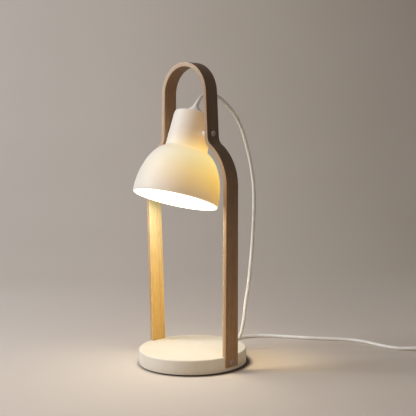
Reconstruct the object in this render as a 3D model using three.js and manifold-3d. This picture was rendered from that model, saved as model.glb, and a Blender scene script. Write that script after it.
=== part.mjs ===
// Table lamp: a bent-wood frame stands on a round base and carries a tilting porcelain shade.
// Millimetres. +Z is up, +X runs from leg to leg, and the shade opens towards -Y.
// The origin is the centre of the base's underside, on the table.
import * as THREE from 'three';
import { mergeVertices } from 'three/addons/utils/BufferGeometryUtils.js';
import Module from 'manifold-3d';

const wasm = await Module();
wasm.setup();

// Shared by all pieces
const degree = Math.PI / 180;
const fit = 0.3; // gap between two pieces that touch
const overrun = 2; // how far a cutter runs past what it cuts
const weld = 1e-4; // vertices this close are one vertex

// Base
const baseRadius = 87.3;
const baseTop = 24.6; // height of the top face over the table
const baseEdge = 2.3; // rounding of the top edge
const baseRim = 0.8; // bevel of the bottom edge
const padInset = 8.3; // the pad's edge behind the base's side
const padThickness = 1.4;
const weightInset = 27.3; // the weight's edge behind the base's side
const weightThickness = 9;
const weightScrewInset = 16; // the screws behind the weight's edge
const weightScrewCount = 3;
const weightScrewLength = 16;
const weightScrewHead = 4; // radius of the countersunk head
const weightScrewShank = 2;
const countersinkDepth = 2.2;

// Frame: one bent strip with two legs, two shoulders and a loop for a handle
const stripThickness = 7;
const footWidth = 28.9; // strip width at the feet
const handleWidth = 25.4; // strip width at the top of the handle
const stripEdge = 0.8; // bevel of the long edges
const shoulderHeight = 365.2; // where the upright starts to bend outwards
const pivotRise = 4.7; // the pivot over that place
const handleRise = 68.4; // the centre of the handle's half circle over that place
const upperBend = 19.4;
const lowerBend = 74;
const uprightLean = 2.1 * degree;
const legLean = 1.04 * degree;
const footInset = 0.25; // foot's outer face behind the base's side
const footHeight = 7; // foot's end over the table
const footScrewHeight = 13.9;

// Screws at the feet and at the pivot share one size
const screwHead = 4.6;
const screwHeadHeight = 2;
const screwCrown = 0.4; // how far the head bulges
const screwShank = 2.5;
const screwSink = 1.2; // depth of the counterbore
const socketRadius = 1.7;
const socketDepth = 1.2;
const insertRadius = 4;
const insertLength = 13;
const footScrewGrip = 11; // length held in the insert

// Shade: neck and dome in one piece, measured from the pivot along the shade's axis
const shadeTilt = 18.2 * degree;
const shadeWall = 3.2;
const neckTop = 33.7;
const neckCrown = 1.2; // how far the closed top bulges
const neckTopRadius = 31.2;
const neckCorner = 3.4;
const neckRoot = 26.2; // depth of the crease between neck and dome
const neckRootRadius = 34.2;
const domeDepth = 107.1;
const domeRadius = 68.8;
const shoulderPull = 21.5; // how far the dome keeps its first direction
const shoulderSlope = 66.2 * degree; // its first direction, from the axis
const rimPull = 40; // how far it keeps its last direction, along the axis

// Pivot
const pivotGap = 12.4; // clear space between neck and upright
const bossRadius = 6.6;
const washerRadius = 6.2;
const washerThickness = 1;
const bracketWidth = 12;
const bracketThickness = 1.8;
const bracketReach = 8; // bracket leg below the pivot
const bracketBend = 6;
const nutRadius = 4.6; // across corners, halved
const nutHeight = 4;

// Lampholder, on the shade's axis
const nippleRadius = 5;
const nippleBore = 3.6;
const nippleGrip = 4.5; // length held in the cord grip
const lockNutRadius = 8;
const lockNutHeight = 3;
const holderRadius = 13.9;
const holderWall = 2;
const capLength = 14.5;
const holderLength = 27.8;
const holderCorner = 1.4;
const sleeveRadius = 7.9;
const sleeveWall = 0.5;
const sleeveLength = 18;
const contactRadius = 2.5;
const contactLength = 7;

// Bulb
const bulbRadius = 22.5;
const bulbLength = 74;
const bulbCapRadius = 6.8;
const bulbCapLength = 14.4;
const bulbContactRadius = 2.4;
const bulbContactHeight = 1;
const insulatorHeight = 2.2;
const collarRadius = 14;
const collarLength = 12.7;
const glassWall = 1;

// Cord and cord grip
const cordRadius = 3;
const cordSides = 8;
const cordSlack = 0.3; // gap between cord and bore
const gripStraight = 8.8; // the bell's foot is straight, then it leans to the back
const gripBend = 26;
const gripLean = 20 * degree;
const gripFlare = 11.2; // how far the bell's foot stands out from its bore
const gripLengthShares = [0, 0.056, 0.21, 0.35, 0.49, 0.64, 0.79, 0.9, 1];
const gripFlareShares = [1, 1, 0.8125, 0.607, 0.348, 0.16, 0.08, 0.054, 0.045];
const leadInLength = 22; // straight part of the cord inside the lampholder

// In-line switch: it lies on the table, where the cord goes on to its coil
const switchPlace = new THREE.Vector3(248, 305.7, 0);
const switchAngle = 30.7 * degree;
const switchLength = 60;
const switchWidth = 25;
const switchEnd = 13; // width of the tapered ends
const switchTaper = 14; // length of the tapered ends
const switchHeight = 17;
const switchCorner = 2;
const switchBevel = 1.4;
const cordEntry = 5.5; // height of the cord over the table at the switch
const cordEntryDepth = 7;
const windowLength = 16;
const windowWidth = 9.6;
const windowFloor = 7.2;
const rockerPinHeight = 12.4;
const rockerPinRadius = 1;
const rockerPinGrip = 2.5;
const rockerTilt = 7 * degree;
const rockerHeight = 6; // from the pin to the raised ends
const rockerDepth = 3; // from the pin to the underside
const rockerDish = 1.4; // how far its middle lies under its ends
const contactPlateLength = 5;
const contactPlateHeight = 0.8;
const switchScrewHead = 2.4;
const switchScrewShank = 1.2;
const switchScrewDepth = 8;
const switchScrewSink = 1.8;
const switchScrewPlace = 18.5; // from the middle of the switch, along it

// Coil of the spare cord, its tie and the plug
const linkLength = 38; // from the switch to the first turn
const coilRadius = 38; // centre line of the outer turns
const coilPitch = 6.6; // from one turn to the next
const coilTurns = 3.5;
const coilStepsPerTurn = 24;
const coilSides = 6;
const tieThickness = 0.8;
const tieWidth = 8;
const tieRoom = 0.4; // extra room for the bend of the turns
const tieTurnShare = 0.25; // where round the coil the tie sits
const tailLength = 27;
const reliefLength = 22;
const reliefTip = 3.9;
const reliefRoot = 5.6;
const plugLength = 34;
const plugWidth = 26;
const plugNarrow = 13;
const plugHeight = 13.6;
const plugBevel = 1.6;
const pinRadius = 2;
const pinLength = 19;
const pinSpacing = 18.6;
const pinGrip = 8;
const pinTip = 1;

// The free cord's route between its straight ends: over the back, down to the table, in a small
// curl behind the base and away to the side. The heights are over the cord's own place on the table
// and hold for one height of the pivot.
const routePivot = 369.9;
const cordLift = 0.1; // between the lying cord and the table
const cordRoute = [
  [0, 32, 430.1], [0, 42.9, 433.9], [0, 53.9, 433.4], [0, 64.5, 429.5], [0, 75, 424.4],
  [0, 86, 417.8], [0, 98, 408.9], [0, 111, 396.4], [0, 122, 381.4], [0, 131, 363.9],
  [0, 140, 340.9], [0, 149, 310.9], [0, 154.5, 280.9], [0, 155.6, 246.9], [0, 153.4, 211.9],
  [0, 149.8, 176.9], [0, 145, 141.9], [0, 139, 106.9], [0, 130.5, 72.1], [3.3, 121.2, 43.8],
  [4, 111.8, 21.8], [-2.8, 106.1, 9.4], [-14.1, 102.2, 2.2], [-27.4, 100.9, 0], [-38.4, 103.8, 0],
  [-48.7, 111.9, 0], [-55.1, 125.6, 0], [-53.9, 144.9, 0], [-46.5, 161.9, 0], [-43, 179, 0],
  [-36.5, 193, 0], [-26, 204.6, 0], [-12, 215, 0], [6, 225.4, 0], [26, 235, 0], [47, 245.4, 0],
  [67, 257.4, 0], [87, 270.5, 0], [108, 281.8, 0], [130, 287.4, 0], [153, 287, 0],
  [175, 284.2, 0], [195, 283.6, 0], [213, 288, 0.2],
];
const cordSteps = 76;

const finish = (color, roughness, metalness = 0) =>
  new THREE.MeshStandardMaterial({ color, roughness, metalness });
const creamPaint = finish(0xf2e8d8, 0.6);
const wood = finish(0xc39a6b, 0.55);
const porcelain = finish(0xf4ece0, 0.5);
const whitePlastic = finish(0xeceae6, 0.45);
const cordWhite = finish(0xe6e3dd, 0.6);
const steel = finish(0x9a9a98, 0.4, 0.9);
const satinNickel = finish(0xb9b4ab, 0.35, 0.9);
const brass = finish(0xc8a25a, 0.35, 0.9);
const castIron = finish(0x4a4a4a, 0.7, 0.6);
const darkFoam = finish(0x2c2a28, 0.95);
const nylon = finish(0xdcd8cf, 0.5);
const opalGlass = finish(0xfff6e2, 0.3);
const blackGlass = finish(0x16161a, 0.3);

function solid(geometry) {
  const plain = geometry.clone();
  plain.deleteAttribute('normal');
  plain.deleteAttribute('uv');
  const merged = mergeVertices(plain, weld);
  const corners = Array.from(merged.index.array);
  const kept = [];
  for (let k = 0; k < corners.length; k += 3) {
    const [a, b, c] = corners.slice(k, k + 3);
    if (a !== b && b !== c && c !== a) kept.push(a, b, c);
  }
  return new wasm.Manifold(new wasm.Mesh({
    numProp: 3,
    vertProperties: new Float32Array(merged.attributes.position.array),
    triVerts: new Uint32Array(kept),
  }));
}

function geometryOf(made) {
  const mesh = made.getMesh();
  const geometry = new THREE.BufferGeometry();
  geometry.setAttribute('position', new THREE.BufferAttribute(mesh.vertProperties, 3));
  geometry.setIndex(new THREE.BufferAttribute(mesh.triVerts, 1));
  return geometry;
}

const cut = (body, ...tools) =>
  geometryOf(tools.reduce((left, tool) => left.subtract(solid(tool)), solid(body)));

// Points of an arc in a profile, from one angle to another
function arc(r, z, radius, from, to, steps) {
  return Array.from({ length: steps + 1 }, (_, k) => {
    const angle = from + ((to - from) * k) / steps;
    return [r + radius * Math.cos(angle), z + radius * Math.sin(angle)];
  });
}

const crossSum = (points) => points.reduce((sum, [x, y], k) => {
  const [nextX, nextY] = points[(k + 1) % points.length];
  return sum + x * nextY - nextX * y;
}, 0);

// A profile of [radius, height] points turned about Z; a profile off the axis closes on itself
function turned(profile, segments = 48) {
  const points = crossSum(profile) < 0 ? [...profile].reverse() : [...profile];
  const onAxis = points.some(([r]) => r === 0);
  if (onAxis) while (points[0][0] !== 0 || points.at(-1)[0] !== 0) points.push(points.shift());
  else points.push(points[0]);
  const outline = points.map(([r, z]) => new THREE.Vector2(r, z));
  return new THREE.LatheGeometry(outline, segments).rotateX(Math.PI / 2);
}

function ring(inner, outer, low, high, segments = 24) {
  return turned([[inner, low], [outer, low], [outer, high], [inner, high]], segments);
}

function disc(radius, low, high, segments = 24) {
  return turned([[0, low], [radius, low], [radius, high], [0, high]], segments);
}

// Stations of equal point counts joined into one closed body
function loft(stations) {
  const count = stations[0].length;
  const positions = stations.flat().flatMap((point) => point.toArray());
  const faces = [];
  for (let s = 0; s + 1 < stations.length; s += 1) {
    for (let k = 0; k < count; k += 1) {
      const here = s * count;
      const next = (k + 1) % count;
      faces.push(here + k, here + next, here + count + k);
      faces.push(here + next, here + count + next, here + count + k);
    }
  }
  const last = (stations.length - 1) * count;
  for (let k = 1; k + 1 < count; k += 1) {
    faces.push(0, k + 1, k);
    faces.push(last, last + k, last + k + 1);
  }
  const volume = faces.reduce((sum, _, k) => {
    if (k % 3) return sum;
    const [a, b, c] = [0, 1, 2].map((corner) =>
      new THREE.Vector3().fromArray(positions, faces[k + corner] * 3));
    return sum + a.dot(b.cross(c));
  }, 0);
  if (volume < 0) faces.reverse();
  const geometry = new THREE.BufferGeometry();
  geometry.setAttribute('position', new THREE.Float32BufferAttribute(positions, 3));
  geometry.setIndex(faces);
  return geometry;
}

// An outline of [x, y] points raised from one height to another
function raised(outline, low, high, bevel = 0) {
  const shape = new THREE.Shape(outline.map(([x, y]) => new THREE.Vector2(x, y)));
  const depth = high - low - 2 * bevel;
  const options = { depth, steps: 1, bevelEnabled: bevel > 0, bevelSegments: 1 };
  const edge = { bevelThickness: bevel, bevelSize: bevel, bevelOffset: -bevel };
  return new THREE.ExtrudeGeometry(shape, { ...options, ...edge }).translate(0, 0, low + bevel);
}

// A turned piece laid along X or upside down
const alongX = (geometry) => geometry.rotateY(Math.PI / 2);
const mirroredX = (geometry) => geometry.rotateZ(Math.PI);

const model = new THREE.Group();

function add(name, geometry, material, parent = model) {
  const mesh = new THREE.Mesh(geometry, material);
  mesh.name = name;
  parent.add(mesh);
  return mesh;
}

const sides = [['left', -1], ['right', 1]];
const onSide = (geometry, side) => (side < 0 ? mirroredX(geometry) : geometry);

// Shade outline
const neckRadiusAt = (height) =>
  neckTopRadius + ((neckRootRadius - neckTopRadius) * (neckTop - height)) / (neckTop + neckRoot);

const domeCurve = new THREE.CubicBezierCurve(
  new THREE.Vector2(neckRootRadius, -neckRoot),
  new THREE.Vector2(
    neckRootRadius + shoulderPull * Math.sin(shoulderSlope),
    -neckRoot - shoulderPull * Math.cos(shoulderSlope),
  ),
  new THREE.Vector2(domeRadius, -domeDepth + rimPull),
  new THREE.Vector2(domeRadius, -domeDepth),
);

// The dome's line, moved inwards by some distance
function domeLine(inset, steps) {
  return Array.from({ length: steps + 1 }, (_, k) => {
    const point = domeCurve.getPoint(k / steps);
    const way = domeCurve.getTangent(k / steps);
    return [point.x + way.y * inset, point.y - way.x * inset];
  });
}

// The bent strip's centre line, as places with their outward normals' angles
const pivotHeight = shoulderHeight + pivotRise;
const handleHeight = shoulderHeight + handleRise;
const pivotReach = neckRadiusAt(0) + pivotGap + stripThickness / 2 / Math.cos(uprightLean);
const handleRadius = pivotReach * Math.cos(uprightLean)
  - (handleHeight - pivotHeight) * Math.sin(uprightLean);
const footReach = baseRadius - footInset - stripThickness / 2;
const uprightX = (z) => pivotReach + (pivotHeight - z) * Math.tan(uprightLean);
const legX = (z) => footReach + (z - baseTop) * Math.tan(legLean);
const frameTop = handleHeight + handleRadius + stripThickness / 2;

function stripLine() {
  const upper = new THREE.Vector2(
    uprightX(shoulderHeight) + upperBend * Math.cos(uprightLean),
    shoulderHeight + upperBend * Math.sin(uprightLean),
  );
  const outward = new THREE.Vector2(Math.cos(legLean), -Math.sin(legLean));
  const reach = upper.dot(outward) - new THREE.Vector2(footReach, baseTop).dot(outward);
  const turn = Math.acos((reach + lowerBend) / (upperBend + lowerBend)) - legLean;
  const bends = upperBend + lowerBend;
  const lowerX = upper.x - bends * Math.cos(turn);
  const lowerZ = upper.y - bends * Math.sin(turn);
  const line = [];
  const follow = (x, z, radius, from, to, steps) => {
    for (let k = 0; k <= steps; k += 1) {
      const angle = from + ((to - from) * k) / steps;
      line.push({ x: x + radius * Math.cos(angle), z: z + radius * Math.sin(angle), angle });
    }
  };
  follow(0, handleHeight, handleRadius, Math.PI / 2, uprightLean, 14);
  follow(upper.x, upper.y, -upperBend, uprightLean, turn, 7);
  follow(lowerX, lowerZ, lowerBend, turn, -legLean, 12);
  line.push({ x: legX(footHeight), z: footHeight, angle: -legLean });
  return line.filter((place, k) =>
    k === 0 || Math.hypot(place.x - line[k - 1].x, place.z - line[k - 1].z) > fit);
}

const stripWidthAt = (z) =>
  footWidth + ((handleWidth - footWidth) * (z - footHeight)) / (frameTop - footHeight);

function stripStation({ x, z, angle }, side) {
  const out = stripThickness / 2;
  const across = stripWidthAt(z) / 2;
  const corners = [
    [out, stripEdge - across], [out, across - stripEdge],
    [out - stripEdge, across], [stripEdge - out, across],
    [-out, across - stripEdge], [-out, stripEdge - across],
    [stripEdge - out, -across], [out - stripEdge, -across],
  ];
  return corners.map(([along, y]) => new THREE.Vector3(
    side * (x + along * Math.cos(angle)), y, z + along * Math.sin(angle),
  ));
}

// A round hole or counterbore through an upright or leg, along X
const crossHole = (radius, from, to, z, side) =>
  onSide(alongX(disc(radius, from, to, 18)), side).translate(0, 0, z);

const outerFace = (x, lean) => x + stripThickness / 2 / Math.cos(lean);
const innerFace = (x, lean) => x - stripThickness / 2 / Math.cos(lean);
const footFace = outerFace(legX(footScrewHeight), legLean);
const pivotFace = outerFace(uprightX(pivotHeight), uprightLean);
const washerSeat = innerFace(uprightX(pivotHeight), uprightLean);

function bentwoodFrame() {
  const half = stripLine();
  const right = half.map((place) => stripStation(place, 1)).reverse();
  const left = half.slice(1).map((place) => stripStation(place, -1));
  const holes = sides.flatMap(([, side]) => [
    crossHole(screwShank + fit, 0, footFace + overrun, footScrewHeight, side),
    crossHole(screwHead + fit, footFace - screwSink, footFace + overrun, footScrewHeight, side),
    crossHole(screwShank + fit, 0, pivotFace + overrun, pivotHeight, side),
    crossHole(screwHead + fit, pivotFace - screwSink, pivotFace + overrun, pivotHeight, side),
  ]);
  return cut(loft([...right, ...left]), ...holes);
}

// A low domed head with a socket, and its shank, along X with the head outwards
function headedScrew(seat, tip) {
  const flank = seat + screwHeadHeight - screwCrown;
  const top = seat + screwHeadHeight;
  return alongX(turned([
    [0, tip], [screwShank, tip], [screwShank, seat], [screwHead, seat], [screwHead, flank],
    [screwHead - screwCrown, top - screwCrown / 2], [socketRadius, top],
    [socketRadius, top - socketDepth], [0, top - socketDepth],
  ], 18));
}

// Base
const padRadius = baseRadius - padInset;
const weightRadius = baseRadius - weightInset;
const weightScrewCircle = weightRadius - weightScrewInset;
const baseUnder = padThickness + fit;
const notchWall = innerFace(legX(footHeight), legLean) - fit;
const notchWidth = stripWidthAt(footHeight) + 2 * fit;
const weightTop = baseUnder + weightThickness;

const aroundBase = (geometry, k) => geometry.translate(weightScrewCircle, 0, 0)
  .rotateZ((2 * Math.PI * (k + 1 / 2)) / weightScrewCount);

function baseDisc() {
  const body = turned([
    [0, baseUnder], [baseRadius - baseRim, baseUnder], [baseRadius, baseUnder + baseRim],
    ...arc(baseRadius - baseEdge, baseTop - baseEdge, baseEdge, 0, Math.PI / 2, 4),
    [0, baseTop],
  ], 64);
  const tools = [disc(weightRadius + fit, -overrun, weightTop + fit, 48)];
  for (let k = 0; k < weightScrewCount; k += 1) {
    const depth = baseUnder + weightScrewLength + fit;
    tools.push(aroundBase(disc(weightScrewShank + fit, 0, depth, 16), k));
  }
  for (const [, side] of sides) {
    const height = baseTop - footHeight + fit + overrun;
    const depth = baseRadius + overrun - notchWall;
    const notch = new THREE.BoxGeometry(depth, notchWidth, height);
    notch.translate(side * (notchWall + depth / 2), 0, footHeight - fit + height / 2);
    const from = notchWall - 2 * fit - insertLength;
    const hole = crossHole(insertRadius + fit, from, notchWall + overrun, footScrewHeight, side);
    tools.push(notch, hole);
  }
  return cut(body, ...tools);
}

function countersunkScrew() {
  return turned([
    [0, baseUnder], [weightScrewHead, baseUnder],
    [weightScrewShank, baseUnder + countersinkDepth],
    [weightScrewShank, baseUnder + weightScrewLength - countersinkDepth],
    [0, baseUnder + weightScrewLength],
  ], 16);
}

function baseWeight() {
  const holes = Array.from({ length: weightScrewCount }, (_, k) => aroundBase(turned([
    [0, baseUnder - overrun], [weightScrewHead + fit, baseUnder - overrun],
    [weightScrewHead + fit, baseUnder + fit],
    [weightScrewShank + fit, baseUnder + countersinkDepth + fit],
    [weightScrewShank + fit, weightTop + overrun], [0, weightTop + overrun],
  ], 16), k));
  return cut(disc(weightRadius, baseUnder, weightTop, 40), ...holes);
}

function addBase() {
  add('base_disc', baseDisc(), creamPaint);
  add('base_weight', baseWeight(), castIron);
  add('base_pad', disc(padRadius, 0, padThickness, 48), darkFoam);
  for (let k = 0; k < weightScrewCount; k += 1) {
    add(`weight_screw_${k + 1}`, aroundBase(countersunkScrew(), k), steel);
  }
}

function addFrame() {
  add('bentwood_frame', bentwoodFrame(), wood);
  for (const [name, side] of sides) {
    const mouth = notchWall - fit;
    const insert = ring(screwShank + fit, insertRadius, mouth - insertLength, mouth, 24);
    const seat = footFace - screwSink + fit;
    const screw = headedScrew(seat, mouth - footScrewGrip);
    const raise = footScrewHeight;
    add(`foot_insert_${name}`, onSide(alongX(insert), side).translate(0, 0, raise), brass);
    add(`foot_screw_${name}`, onSide(screw, side).translate(0, 0, raise), satinNickel);
  }
}

// Shade group: its origin is the middle of the pivot line, its +Z runs up the shade's axis
const shade = new THREE.Group();
shade.position.z = pivotHeight;
shade.rotation.x = -shadeTilt;
model.add(shade);

const neckInside = neckTop - shadeWall;
const bracketTop = neckInside - fit;
const lockNutTop = bracketTop - bracketThickness - fit;
const capTop = lockNutTop - lockNutHeight - fit;
const holderTop = capTop - capLength - fit;
const gripSeat = neckTop + neckCrown + fit;
const holderBottom = holderTop - holderLength;
const bulbTop = holderTop - contactLength - 2 * fit;

// A hole through both sides of the neck, on the pivot's line
function pivotBore() {
  const reach = neckTopRadius + neckRootRadius;
  return alongX(disc(screwShank + fit, -reach, reach, 24));
}

function shadeShell() {
  const corner = arc(
    neckTopRadius - neckCorner, neckTop - neckCorner, neckCorner, Math.PI / 2, 0, 4,
  );
  const outside = domeLine(0, 13);
  const inside = domeLine(shadeWall, 11).reverse();
  const lip = shadeWall / 2;
  const rim = arc(domeRadius - lip, -domeDepth, lip, 0, -Math.PI, 3);
  const body = turned([
    [nippleRadius + fit, neckTop + neckCrown], [neckTopRadius / 2, neckTop + neckCrown * 3 / 4],
    ...corner, ...outside, ...rim.slice(1, -1), ...inside.slice(0, -1),
    [neckRootRadius - shadeWall, -neckRoot - shadeWall / 3],
    [neckTopRadius - shadeWall, neckInside - shadeWall],
    [neckTopRadius - 2 * shadeWall, neckInside], [nippleRadius + fit, neckInside],
  ], 44);
  return cut(body, pivotBore());
}

// The boss's inner end follows the neck
function pivotBoss(side) {
  const end = washerSeat - 2 * fit - washerThickness;
  const boss = alongX(ring(screwShank + fit, bossRadius, neckRadiusAt(0) / 2, end, 24));
  const neck = turned([
    [0, -bossRadius * 2], [neckRadiusAt(-bossRadius * 2) + fit, -bossRadius * 2],
    [neckRadiusAt(bossRadius * 2) + fit, bossRadius * 2], [0, bossRadius * 2],
  ], 96);
  return cut(onSide(boss, side), neck);
}

const neckSlope = (neckRootRadius - neckTopRadius) / (neckTop + neckRoot);
const bracketFace = (height) => Math.hypot(
  Math.sqrt((neckRadiusAt(bracketTop) - shadeWall - fit) ** 2 - (bracketWidth / 2) ** 2),
) + (bracketTop - height) * neckSlope;

// A strap bent over the lampholder, with a leg down to each pivot screw
function pivotBracket() {
  const low = -bracketReach;
  const outerTop = bracketFace(bracketTop) - fit;
  const outerLow = bracketFace(low) - fit;
  const bendLow = bracketTop - bracketBend;
  const half = (inset) => [
    [outerLow - inset, low], [outerTop - inset, bendLow],
    ...arc(outerTop - bracketBend, bendLow, bracketBend - inset, 0, Math.PI / 2, 4).slice(1),
  ];
  const mirrored = (points) => points.map(([x, z]) => [-x, z]).reverse();
  const outer = half(0);
  const inner = half(bracketThickness).reverse();
  const outline = [...outer, ...mirrored(outer), ...mirrored(inner), ...inner];
  const strap = raised(outline, -bracketWidth / 2, bracketWidth / 2).rotateX(Math.PI / 2);
  return cut(
    strap,
    disc(nippleRadius + fit, 0, neckTop, 24),
    pivotBore(),
  );
}

const nutFace = bracketFace(0) - fit - bracketThickness - 2 * fit;

function hexRing(corner, bore, low, high) {
  return cut(disc(corner, low, high, 6), disc(bore, low - overrun, high + overrun, 24));
}

function addPivots() {
  add('pivot_bracket', pivotBracket(), steel, shade);
  const washerOut = washerSeat - fit;
  const seat = pivotFace - screwSink + fit;
  const tip = nutFace - nutHeight - fit;
  for (const [name, side] of sides) {
    const washer = ring(screwShank + fit, washerRadius, washerOut - washerThickness, washerOut);
    const nut = alongX(hexRing(nutRadius, screwShank + fit, nutFace - nutHeight, nutFace));
    add(`pivot_boss_${name}`, pivotBoss(side), whitePlastic, shade);
    add(`pivot_washer_${name}`, onSide(alongX(washer), side), nylon, shade);
    add(`pivot_screw_${name}`, onSide(headedScrew(seat, tip), side), satinNickel, shade);
    add(`pivot_nut_${name}`, onSide(nut, side), steel, shade);
  }
}

function addLampholder() {
  const nippleLow = capTop - holderCorner - holderWall;
  const nippleHigh = gripSeat + nippleGrip;
  const capLow = capTop - capLength;
  const bore = sleeveRadius + fit;
  add('threaded_nipple', ring(nippleBore, nippleRadius, nippleLow, nippleHigh, 24), steel, shade);
  const lockNut = hexRing(lockNutRadius, nippleRadius + fit, lockNutTop - lockNutHeight, lockNutTop);
  add('nipple_lock_nut', lockNut, steel, shade);
  add('lampholder_cap', turned([
    [nippleRadius + fit, capTop], [holderRadius - 3 * holderCorner, capTop],
    [holderRadius, capTop - 3 * holderCorner], [holderRadius, capLow],
    [holderRadius - holderWall, capLow],
    [holderRadius - holderWall, capTop - 3 * holderCorner - holderWall / 2],
    [holderRadius - 3 * holderCorner - holderWall / 2, capTop - holderWall],
    [nippleRadius + fit, capTop - holderWall],
  ], 24), whitePlastic, shade);
  add('lampholder_body', turned([
    [contactRadius + fit, holderTop], [holderRadius, holderTop],
    [holderRadius, holderBottom + holderCorner], [holderRadius - holderCorner, holderBottom],
    [bore, holderBottom], [bore, bulbTop + fit], [contactRadius + fit, bulbTop + fit],
  ], 24), whitePlastic, shade);
  const sleeve = ring(sleeveRadius - sleeveWall, sleeveRadius, bulbTop - sleeveLength, bulbTop, 24);
  add('lampholder_sleeve', sleeve, brass, shade);
  add('lampholder_contact', disc(contactRadius, bulbTop + fit, holderTop, 16), brass, shade);
}

function addBulb() {
  const contactLow = bulbTop - bulbContactHeight;
  const insulatorTop = contactLow - fit;
  const insulatorLow = insulatorTop - insulatorHeight;
  const capTopFace = insulatorLow - fit;
  const capLow = capTopFace - bulbCapLength;
  const collarTop = capLow - fit;
  const collarLow = collarTop - collarLength;
  const centre = bulbTop - bulbLength + bulbRadius;
  add('bulb_contact', disc(bulbContactRadius, contactLow, bulbTop, 16), steel, shade);
  add('bulb_insulator', turned([
    [0, insulatorLow], [bulbCapRadius - insulatorHeight / 2, insulatorLow],
    [bulbContactRadius, insulatorTop], [0, insulatorTop],
  ], 24), blackGlass, shade);
  add('bulb_cap', disc(bulbCapRadius, capLow, capTopFace, 24), satinNickel, shade);
  add('bulb_collar', turned([
    [0, collarLow], [collarRadius, collarLow], [bulbCapRadius, collarTop], [0, collarTop],
  ], 24), whitePlastic, shade);
  const mouth = collarLow - fit;
  const from = Math.asin((mouth - centre) / bulbRadius);
  const inner = bulbRadius - glassWall;
  const innerFrom = Math.asin((mouth - centre) / inner);
  add('bulb_glass', turned([
    ...arc(0, centre, bulbRadius, from, -Math.PI / 2, 8).slice(0, -1),
    [0, centre - bulbRadius], [0, centre - inner],
    ...arc(0, centre, inner, -Math.PI / 2, innerFrom, 8).slice(1),
  ], 24), opalGlass, shade);
}

// The bell's middle line, and a ring of points round it
function gripPlace(along) {
  const turn = Math.max(0, along - gripStraight) / gripBend;
  const rise = Math.min(along, gripStraight) + gripBend * Math.sin(turn);
  const place = new THREE.Vector3(0, gripBend * (1 - Math.cos(turn)), gripSeat + rise);
  return { place, way: new THREE.Vector3(0, Math.sin(turn), Math.cos(turn)) };
}

function gripRing(along, radius, sideCount) {
  const { place, way } = gripPlace(along);
  const across = new THREE.Vector3(0, way.z, -way.y);
  return Array.from({ length: sideCount }, (_, k) => {
    const angle = (2 * Math.PI * k) / sideCount;
    return place.clone().addScaledVector(across, radius * Math.sin(angle))
      .add(new THREE.Vector3(radius * Math.cos(angle), 0, 0));
  });
}

const gripLength = gripStraight + gripBend * gripLean;

function gripTube(alongs, radiusAt, sideCount) {
  return loft(alongs.map((along, k) => gripRing(along, radiusAt(k), sideCount)));
}

const gripSteps = Array.from({ length: 5 }, (_, k) =>
  gripStraight + ((gripLength - gripStraight) * k) / 4);

function cordGrip() {
  const bore = cordRadius + cordSlack;
  const stations = gripLengthShares.map((share) => share * gripLength);
  const bell = gripTube(stations, (k) => bore + gripFlare * gripFlareShares[k], 20);
  const hole = gripTube([-overrun, ...gripSteps, gripLength + overrun], () => bore, 16);
  const socket = disc(nippleRadius + fit, gripSeat - overrun, gripSeat + nippleGrip + fit, 16);
  return cut(bell, hole, socket);
}

// Cord: a round section drawn along a smooth curve
function cordTube(points, steps) {
  const curve = new THREE.CatmullRomCurve3(points, false, 'centripetal');
  const section = new THREE.Shape(Array.from({ length: cordSides }, (_, k) => {
    const angle = (2 * Math.PI * k) / cordSides;
    return new THREE.Vector2(cordRadius * Math.cos(angle), cordRadius * Math.sin(angle));
  }));
  return new THREE.ExtrudeGeometry(section, { steps, extrudePath: curve });
}

const straight = 2 * cordRadius; // the cord's ends run straight for one diameter
const lead = new THREE.Group();
lead.position.copy(switchPlace);
lead.rotation.z = switchAngle;
model.add(lead);

function addCord() {
  shade.updateMatrixWorld(true);
  lead.updateMatrixWorld(true);
  const { place, way } = gripPlace(gripLength);
  const start = [fit, fit + straight]
    .map((ahead) => shade.localToWorld(place.clone().addScaledVector(way, ahead)));
  const end = [-2 * straight, -straight, 0, cordEntryDepth - fit]
    .map((along) => lead.localToWorld(new THREE.Vector3(along, 0, cordEntry)));
  const rise = pivotHeight / routePivot;
  const route = cordRoute.map(([x, y, height]) =>
    new THREE.Vector3(x, y, cordRadius + cordLift + height * rise));
  add('power_cord', cordTube([...start, ...route, ...end], cordSteps), cordWhite);
  add('cord_grip', cordGrip(), whitePlastic, shade);
  const leadIn = gripTube([-leadInLength, ...gripSteps], () => cordRadius, cordSides);
  add('cord_lead_in', leadIn, cordWhite, shade);
}

// Switch
const switchMiddle = switchLength / 2;

function switchOutline(inset) {
  const wide = switchWidth / 2 - inset;
  const narrow = switchEnd / 2 - inset;
  const end = switchMiddle - inset;
  const taper = switchMiddle - switchTaper;
  const quarter = [[end, narrow - switchCorner], [end - switchCorner, narrow], [taper, wide]];
  const right = [...quarter.map(([x, y]) => [x, -y]).reverse(), ...quarter];
  const left = right.map(([x, y]) => [-x, -y]);
  return [...right, ...left];
}

const acrossSwitch = (geometry) => geometry.rotateX(Math.PI / 2);
const windowAt = (inset, low, high) => new THREE.BoxGeometry(
  windowLength - 2 * inset, windowWidth - 2 * inset, high - low,
).translate(0, 0, (low + high) / 2);

const screwPlaces = [['front', -switchScrewPlace], ['back', switchScrewPlace]];

function cordBores() {
  return [-1, 1].map((end) => alongX(
    disc(cordRadius + cordSlack, switchMiddle - cordEntryDepth, switchMiddle + overrun, 16),
  ).scale(end, end, 1).translate(0, 0, cordEntry));
}

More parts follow.
